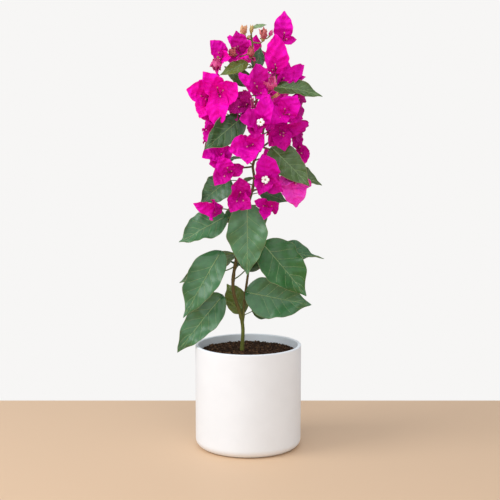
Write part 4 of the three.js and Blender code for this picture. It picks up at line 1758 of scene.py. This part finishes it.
@dataclass
class Sprays:
    """Blooms of three papery bracts on their twigs, with flower tubes, open flowers and buds.

    Args:
        foliage: Where its small leaves go.
        twig_radius: How thick a twig is at its foot.
        spread: Degrees that an even bloom's bracts set off from its axis.
        bend: Degrees that they turn along their length.
        arc: Degrees that a bract turns whose tip is told.
        width_share: An even bloom's bract's width as a share of its length.
        thick: How thick a bract is.
    """

    foliage: Foliage
    twig_radius: float = 0.9
    spread: float = 30
    bend: float = 50
    arc: float = 60
    width_share: float = 0.74
    thick: float = 0.32

    def __post_init__(self) -> None:
        """Opens a heap for each kind of shape, and says how each tint ages."""
        self.bracts = {
            tint: Joined("bracts_" + tint.name.lower(), (tint.value,), "bloom") for tint in BractTint
        }
        self.young = {
            age: Joined("young_bracts_" + age, (skin,), "bloom") for age, skin in YOUNG_BRACTS.items()
        }
        self.parts = {name: Joined(name, (skin,), slot) for name, (slot, skin) in BLOOM_PARTS.items()}
        self.older = {BRIGHT: FULL, FULL: RIPE, RIPE: FULL}

    def put(self, part: str, shape: Shape, node: str) -> None:
        """Adds a small part of a bloom to its heap."""
        self.parts[part].add(*shape, node)

    def grow(self, row: SprayRow) -> None:
        """Grows a spray of the table from its limb.

        Args:
            row: The spray.
        """
        if isinstance(row.carrier, str):
            foot = PATHS[row.carrier].at(1.0)
        else:
            foot = MAIN.at_height(row.carrier)
        stem = None
        for k, bloom in enumerate(row.blooms):
            heart, axis = np.array(bloom.heart, float), heading(*bloom.look)
            line = arch(foot if stem is None else along(stem, 0.35), heart, axis)
            stem = line if stem is None else stem
            self.put("bloom_twigs", tube(line, np.linspace(1, 0.8, 9) * self.twig_radius, 7), row.name)
            self.open_bloom(row, bloom, heart, axis, row.seed + 50 * k)
        toward = np.array(row.blooms[0].heart) - foot
        outward = math.degrees(math.atan2(toward[1], toward[0]))
        for j in range(row.leaves):
            aside = (-1 if j % 2 else 1) * (75 + 20 * jitter(row.seed, 60 + j))
            forward = heading(outward + aside, 10 * jitter(row.seed, 64 + j))
            length = 28 + 5 * jitter(row.seed, 68 + j)
            self.foliage.young_leaf(row.name, along(stem, 0.3 + 0.2 * j), forward, length, row.seed + 7)
        for j in range(row.buds):
            way = heading(outward + 150 + 90 * j, 46 + 16 * jitter(row.seed, 80 + j))
            self.bud(row.name, along(stem, 0.45 + 0.2 * j), way)

    def open_bloom(
        self, row: SprayRow, bloom: Bloom, heart: np.ndarray, axis: np.ndarray, seed: int
    ) -> None:
        """Opens three bracts round a heart, with a flower tube on each.

        Args:
            row: The spray.
            bloom: The bloom.
            heart: Where the bracts meet.
            axis: The way that the bloom faces.
            seed: What sets it apart.
        """
        young = bloom.tint is BABY
        rough = 0.06 if young else 0.04
        place = self.told_bract if bloom.tips else self.even_bract
        for k in range(3):
            lie = place(bloom, k, axis, seed)
            blade = Blade(
                base=heart + lie.outward * 0.9,
                forward=lie.forward,
                face=lie.face,
                length=lie.length,
                width=lie.width,
                bend=lie.bend * (0.3 if young else 1),
                fold=(34 if young else 22) + 6 * jitter(seed, k + 18),
                outline=bract_outline,
                veins=6.0,
                relief=rough * lie.length,
                wave=1.6 * rough * lie.length,
                crinkle=rough * lie.length,
                thick=self.thick,
                seed=seed + 3.1 * k,
                hook=20 + 18 * jitter(seed, k + 12),
                twist=14 * jitter(seed, k + 15),
                lobe=0.09,
                ragged=0.035,
            )
            corners, upper, under = blade.solid(34, 22)
            tint = bloom.tint or row.tint
            if jitter(seed, k + 21) > 0.35:
                tint = self.older.get(tint, tint)
            self.bracts[tint].add(corners, upper + under, row.name)
            self.vein(blade, row.name)
            if not (bloom.out and k == 0):
                reach = lie.length * (0.32 + 0.07 * jitter(seed, k + 24))
                way = unit(axis + lie.outward * 0.4)
                self.flower_tube(row.name, heart + lie.outward * 2, way, reach, seed + k)
        self.put("flower_tubes", ball(heart - axis * 0.6, 1.7, 8), row.name)
        if bloom.out:
            self.open_flower(row.name, heart, axis, 14)

    def vein(self, blade: Blade, node: str) -> None:
        """Lays the midrib and side veins of a bract in its upper skin as fine threads.

        Args:
            blade: The bract.
            node: The node that it stands for.
        """
        t = np.linspace(0.03, 0.9, 14)
        middle = blade.points(t, np.zeros_like(t))
        self.put("bract_veins", tube(middle, np.linspace(0.4, 0.2, 14), 5), node)
        for side in (-1, 1):
            for k in range(5):
                wide = np.linspace(0.0, 0.8, 7)
                t = 0.05 + 0.16 * k + 0.3 * wide**1.2
                line = blade.points(np.minimum(t, 0.97), side * wide)
                self.put("bract_veins", tube(line, np.linspace(0.3, 0.18, 7), 4), node)

    def even_bract(self, bloom: Bloom, k: int, axis: np.ndarray, seed: int) -> Lie:
        """How a bract of an even bloom lies.

        Args:
            bloom: The bloom.
            k: Which of its bracts it is, from 0.
            axis: The way that the bloom faces.
            seed: What sets it apart.

        Returns:
            How it lies.
        """
        right, top = across(axis)
        turn = math.radians(bloom.roll + 120 * k + 8 * jitter(seed, k))
        outward = right * math.cos(turn) + top * math.sin(turn)
        spread = math.radians(self.spread + 3 * jitter(seed, k + 3))
        forward = axis * math.cos(spread) + outward * math.sin(spread)
        face = turned(axis * math.sin(spread) - outward * math.cos(spread), forward, 15)
        length = bloom.size * (1 + 0.08 * jitter(seed, k + 6))
        bend = self.bend + 14 * jitter(seed, k + 9)
        return Lie(outward, forward, face, length, length * self.width_share, bend)

    def told_bract(self, bloom: Bloom, k: int, axis: np.ndarray, seed: int) -> Lie:
        """How a bract lies whose tip is told: on an arc from the heart to there.

        Args:
            bloom: The bloom.
            k: Which of its bracts it is, from 0.
            axis: The way that the bloom faces.
            seed: What sets it apart.

        Returns:
            How it lies.
        """
        x, y, z, width = bloom.tips[k]
        reach = np.array([x, y, z], float)
        outward = square_to(reach, axis)
        chord = unit(reach)
        face = turned(square_to(axis, chord), chord, 10 + 12 * jitter(seed, k + 3))
        bend = self.arc + 12 * jitter(seed, k + 9)
        half = math.radians(bend / 2)
        forward = chord * math.cos(half) + face * math.sin(half)
        face = face * math.cos(half) - chord * math.sin(half)
        length = float(np.linalg.norm(reach)) * half / math.sin(half)
        return Lie(outward, forward, face, length, width, bend)

    def flower_tube(self, node: str, start: np.ndarray, way: np.ndarray, length: float, seed: float) -> None:
        """A closed slim flower: a tube that is narrow in the middle, with a pale tip.

        Args:
            node: The node that it stands for.
            start: Where it starts.
            way: The way that it grows.
            length: Its length without its tip.
            seed: What sets it apart.
        """
        lean = unit(way + 0.3 * np.array([jitter(seed, 90), jitter(seed, 91), jitter(seed, 92)]))
        share = np.linspace(0, 1, 7)
        line = start + lean * (length * share)[:, None]
        radii = np.array([0.6, 0.85, 0.8, 0.62, 0.58, 0.66, 0.74])
        self.put("flower_tubes", tube(line, radii, 8), node)
        cap = start + lean * (length + np.array([-0.6, 0.4, 1.2, 1.8]))[:, None]
        self.put("flower_tube_tips", tube(cap, np.array([0.62, 0.85, 0.7, 0.2]), 8), node)

    def open_flower(self, node: str, heart: np.ndarray, axis: np.ndarray, length: float) -> None:
        """An open flower on its tube: five white notched lobes round a green-gold eye.

        Args:
            node: The node that it stands for.
            heart: Where the bloom's bracts meet.
            axis: The way that the bloom faces.
            length: How far its lobes stand out from the heart.
        """
        end = heart + axis * length
        line = heart + axis * length * np.linspace(0, 1, 6)[:, None]
        self.put("flower_tubes", tube(line, np.array([0.8, 1, 0.9, 0.8, 1.0, 1.4]), 8), node)
        right, top = across(axis)
        sides, rings, broad, thick = 50, 6, 4.9, 0.35
        angles = np.arange(sides) * 2 * math.pi / sides
        petal = np.abs(np.cos(2.5 * angles))
        lobe = broad * (0.66 + 0.34 * petal**0.55 - 0.07 * petal**14)
        share = np.linspace(0.16, 1, rings)[:, None]
        radius = share * lobe[None]
        lift = 0.9 * np.sin(share * 2.4) - 0.5 + 0.35 * share * np.cos(5 * angles)[None]
        ring = np.cos(angles)[:, None] * right + np.sin(angles)[:, None] * top
        upper = end + ring[None] * radius[..., None] + axis * lift[..., None]
        lower = upper - axis * thick
        corners = np.concatenate([upper.reshape(-1, 3), lower.reshape(-1, 3)])
        low = rings * sides
        faces: Faces = []
        for a, b, c, d in ring_faces(rings, sides):
            faces += [(a, d, c, b), (low + b, low + c, low + d, low + a)]
        rim = (rings - 1) * sides
        for j in range(sides):
            k = (j + 1) % sides
            faces += [(rim + k, rim + j, low + rim + j, low + rim + k), (j, k, low + k, low + j)]
        self.put("open_flowers", (corners, faces), node)
        self.put("flower_eyes", ball(end - axis * thick, 1.0, 10), node)

    def bud(self, node: str, foot: np.ndarray, way: np.ndarray, reach: float = 9, length: float = 7) -> None:
        """A closed bud on its twig: three bracts folded to a pointed body, in a green-gold cup.

        Args:
            node: The node that it stands for.
            foot: Where its twig starts.
            way: The way that it grows.
            reach: The twig's length.
            length: The body's length.
        """
        start = foot + way * reach
        stalk = foot + (start + way - foot) * np.linspace(0, 1, 5)[:, None]
        self.put("bloom_twigs", tube(stalk, np.linspace(0.75, 0.6, 5), 6), node)
        share = np.linspace(0, 1, 9)
        radii = length * (0.04 + 0.27 * np.sin(math.pi * np.clip(0.1 + 0.9 * share, 0, 0.985) ** 0.85))
        self.put("buds", tube(start + way * (length * share)[:, None], radii, 12, 0.14), node)
        low = np.linspace(-0.08, 0.3, 5)
        cup = length * np.array([0.1, 0.2, 0.27, 0.3, 0.28])
        self.put("bud_cups", tube(start + way * (length * low)[:, None], cup, 10, 0.08), node)

    def cluster(self, row: Cluster, index: int) -> None:
        """A cluster of crumpled young bracts on one twig near the top.

        Args:
            row: The cluster.
            index: Its place in the table, which sets it apart.
        """
        way = heading(*row.look)
        base = np.array(row.heart, float) - way * row.length * 0.5
        line = arch(np.array(row.foot, float), base, way)
        self.put("bloom_twigs", tube(line, np.linspace(0.85, 0.65, 9), 7), "spray_tip")
        right, top = across(way)
        seed = 70 + index
        for j in range(row.count):
            angle = 2.4 * j + index
            aside = right * math.cos(angle) + top * math.sin(angle)
            spread = 0.2 + 0.42 * j / row.count + 0.1 * jitter(seed, j)
            forward = unit(way + aside * spread)
            size = row.length * (1 + 0.15 * jitter(seed, j + 10))
            blade = Blade(
                base=base + aside * 0.5,
                forward=forward,
                face=-square_to(aside, forward),
                length=size,
                width=size * 0.66,
                bend=-25 + 30 * jitter(seed + 1, j),
                fold=34,
                outline=bract_outline,
                veins=4.0,
                relief=0.05 * size,
                wave=0.09 * size,
                crinkle=0.05 * size,
                thick=0.4,
                seed=seed + j,
                hook=30 * jitter(seed + 2, j),
                ragged=0.06,
            )
            corners, upper, under = blade.solid(16, 12)
            self.young[row.age].add(corners, upper + under, "spray_tip")
        self.put("bud_cups", ball(base, 0.16 * row.length, 8), "spray_tip")

    def tip(self) -> None:
        """The growing tip: young bracts, slim closed flowers and a leaf round the main stem's end."""
        foot = MAIN.at(1.0)
        crown = np.array([foot[0] - 1, foot[1], 509.0])
        line = foot + (crown - foot) * np.linspace(0, 1, 5)[:, None]
        self.put("bloom_twigs", tube(line, np.linspace(0.9, 0.7, 5), 7), "spray_tip")
        for index, row in enumerate(CLUSTERS):
            self.cluster(row, index)
        for j in range(6):
            aside = heading(150 * j, 0) * (0.8 + 0.35 * j)
            low = np.array([5.7, -36.0, 415.0]) + aside * (1, 0.6, 0)
            way = unit(aside * (0.12, 0.1, 0) + np.array([-0.05, 0.1, 1.0]))
            self.flower_tube("spray_centre_high", low, way, 11 + 2 * jitter(90, j), 90 + j)
        start = foot + (crown - foot) * 0.9
        forward = heading(8, 22)
        face = square_to(heading(-90, 40), forward)
        base = start + forward * 5
        self.foliage.leaf("spray_tip", start, forward, base, forward, face, (17, 6.5), 22, TIP, 40)

    def build(self) -> None:
        """Makes all bloom pieces."""
        for heap in (*self.bracts.values(), *self.young.values(), *self.parts.values()):
            heap.piece()


# ---------------------------------------------------------------- the studio


@dataclass
class Studio:
    """A pale table top before a pale wall, soft light from the upper left, and the camera.

    Args:
        table: The table's colour.
        wall: The surround's colour where it shows.
        air: Its colour where it lights the plant.
        ambient: How strongly it lights the plant.
        lamp_colour: The lamps' colour, a little cool.
        slab: The table top's width, depth and thickness, in metres.
        back_edge: How far behind the pot's middle the table ends, in metres.
        aim: Where the lamps look, in metres.
        eye: Where the camera stands, in metres.
        tilt: Degrees that it looks down.
        focal: Its lens, in millimetres.
    """

    table: str = "debd9b"
    wall: str = "f7f6f5"
    air: str = "f6f8fd"
    ambient: float = 0.62
    lamp_colour: tuple[float, float, float] = (0.94, 0.97, 1.0)
    slab: tuple[float, float, float] = (3.2, 1.6, 0.03)
    back_edge: float = 0.214
    aim: tuple[float, float, float] = (0, 0, 0.3)
    eye: tuple[float, float, float] = (0.0022, -1.425, 0.430)
    tilt: float = 7.46
    focal: float = 85.0

    def build(self) -> None:
        """Sets up the table, the light and the camera."""
        self.table_top()
        self.sky()
        self.lamp("key", (-1.6, -0.6, 1.2), 1.1, 20.0)
        self.lamp("fill", (0.15, -1.7, 0.7), 1.4, 7.0)
        self.lamp("overhead", (-0.2, -0.6, 1.6), 1.2, 6.0)
        self.camera()

    def table_top(self) -> None:
        """A slab with a softened edge under the pot."""
        clear_selection()
        _, deep, thick = self.slab
        bpy.ops.mesh.primitive_cube_add(
            size=1, location=(0, self.back_edge - deep / 2, -thick / 2), scale=self.slab
        )
        slab = bpy.context.object
        bpy.ops.object.transform_apply(location=True, rotation=True, scale=True)
        bpy.ops.object.mode_set(mode="EDIT")
        bpy.ops.mesh.select_all(action="SELECT")
        bpy.ops.mesh.bevel(offset=3 * MM, segments=3, affect="EDGES")
        bpy.ops.object.mode_set(mode="OBJECT")
        slab.name = slab.data.name = "table_top"
        made, tree = new_tree("pale_table")
        skin = add_node(
            tree, "BsdfPrincipled", {"Roughness": 0.55, "Base Color": linear(self.table), "IOR": 1.45}
        )
        add_node(tree, "OutputMaterial", {}, {"Surface": skin.outputs["BSDF"]})
        slab.data.materials.append(made)

    def sky(self) -> None:
        """A pale even surround that lights the plant more softly than it shows."""
        world = bpy.data.worlds.new("surround")
        world.use_nodes = True
        tree = world.node_tree
        tree.nodes.clear()
        seen = add_node(tree, "Background", {"Color": linear(self.wall), "Strength": 1.0})
        lit = add_node(tree, "Background", {"Color": linear(self.air), "Strength": self.ambient})
        ray = add_node(tree, "LightPath").outputs["Is Camera Ray"]
        mixed = add_node(tree, "MixShader", {}, {0: ray, 1: lit.outputs[0], 2: seen.outputs[0]})
        add_node(tree, "OutputWorld", {}, {"Surface": mixed.outputs[0]})
        bpy.context.scene.world = world

    def lamp(self, name: str, place: tuple[float, float, float], size: float, power: float) -> None:
        """A square soft lamp that looks at the crown.

        Args:
            name: Its name.
            place: Where it hangs, in metres.
            size: Its side, in metres.
            power: Its power, in watts.
        """
        light = bpy.data.lights.new(name, "AREA")
        light.size, light.energy, light.color = size, power, self.lamp_colour
        lamp = bpy.data.objects.new(name, light)
        lamp.location = place
        aim = np.subtract(self.aim, place)
        lamp.rotation_mode = "QUATERNION"
        lamp.rotation_quaternion = Vector(aim).to_track_quat("-Z", "Y")
        bpy.context.scene.collection.objects.link(lamp)

    def camera(self) -> None:
        """The camera before the pot, level with the crown."""
        lens = bpy.data.cameras.new("camera")
        lens.lens, lens.sensor_width = self.focal, 36.0
        camera = bpy.data.objects.new("camera", lens)
        camera.location = self.eye
        camera.rotation_euler = (math.radians(90 - self.tilt), 0, 0)
        bpy.context.scene.collection.objects.link(camera)
        bpy.context.scene.camera = camera
        bpy.context.scene.view_settings.view_transform = "Standard"


def main() -> None:
    """Builds the plant in its pot, and the studio round it."""
    logging.basicConfig(level=logging.INFO, format="%(message)s")
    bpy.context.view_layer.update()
    Studio().build()
    pot = Pot()
    pot.build()
    Soil(pot).build()
    Wood().build()
    foliage = Foliage()
    sprays = Sprays(foliage)
    for index, row in enumerate(LEAVES):
        foliage.large_leaf(row, 100 + index)
    climb = Climb()
    for row in (*SPRAYS, *map(climb.row, range(len(climb.tints)))):
        sprays.grow(row)
    sprays.tip()
    foliage.build()
    sprays.build()


if __name__ == "__main__":
    main()
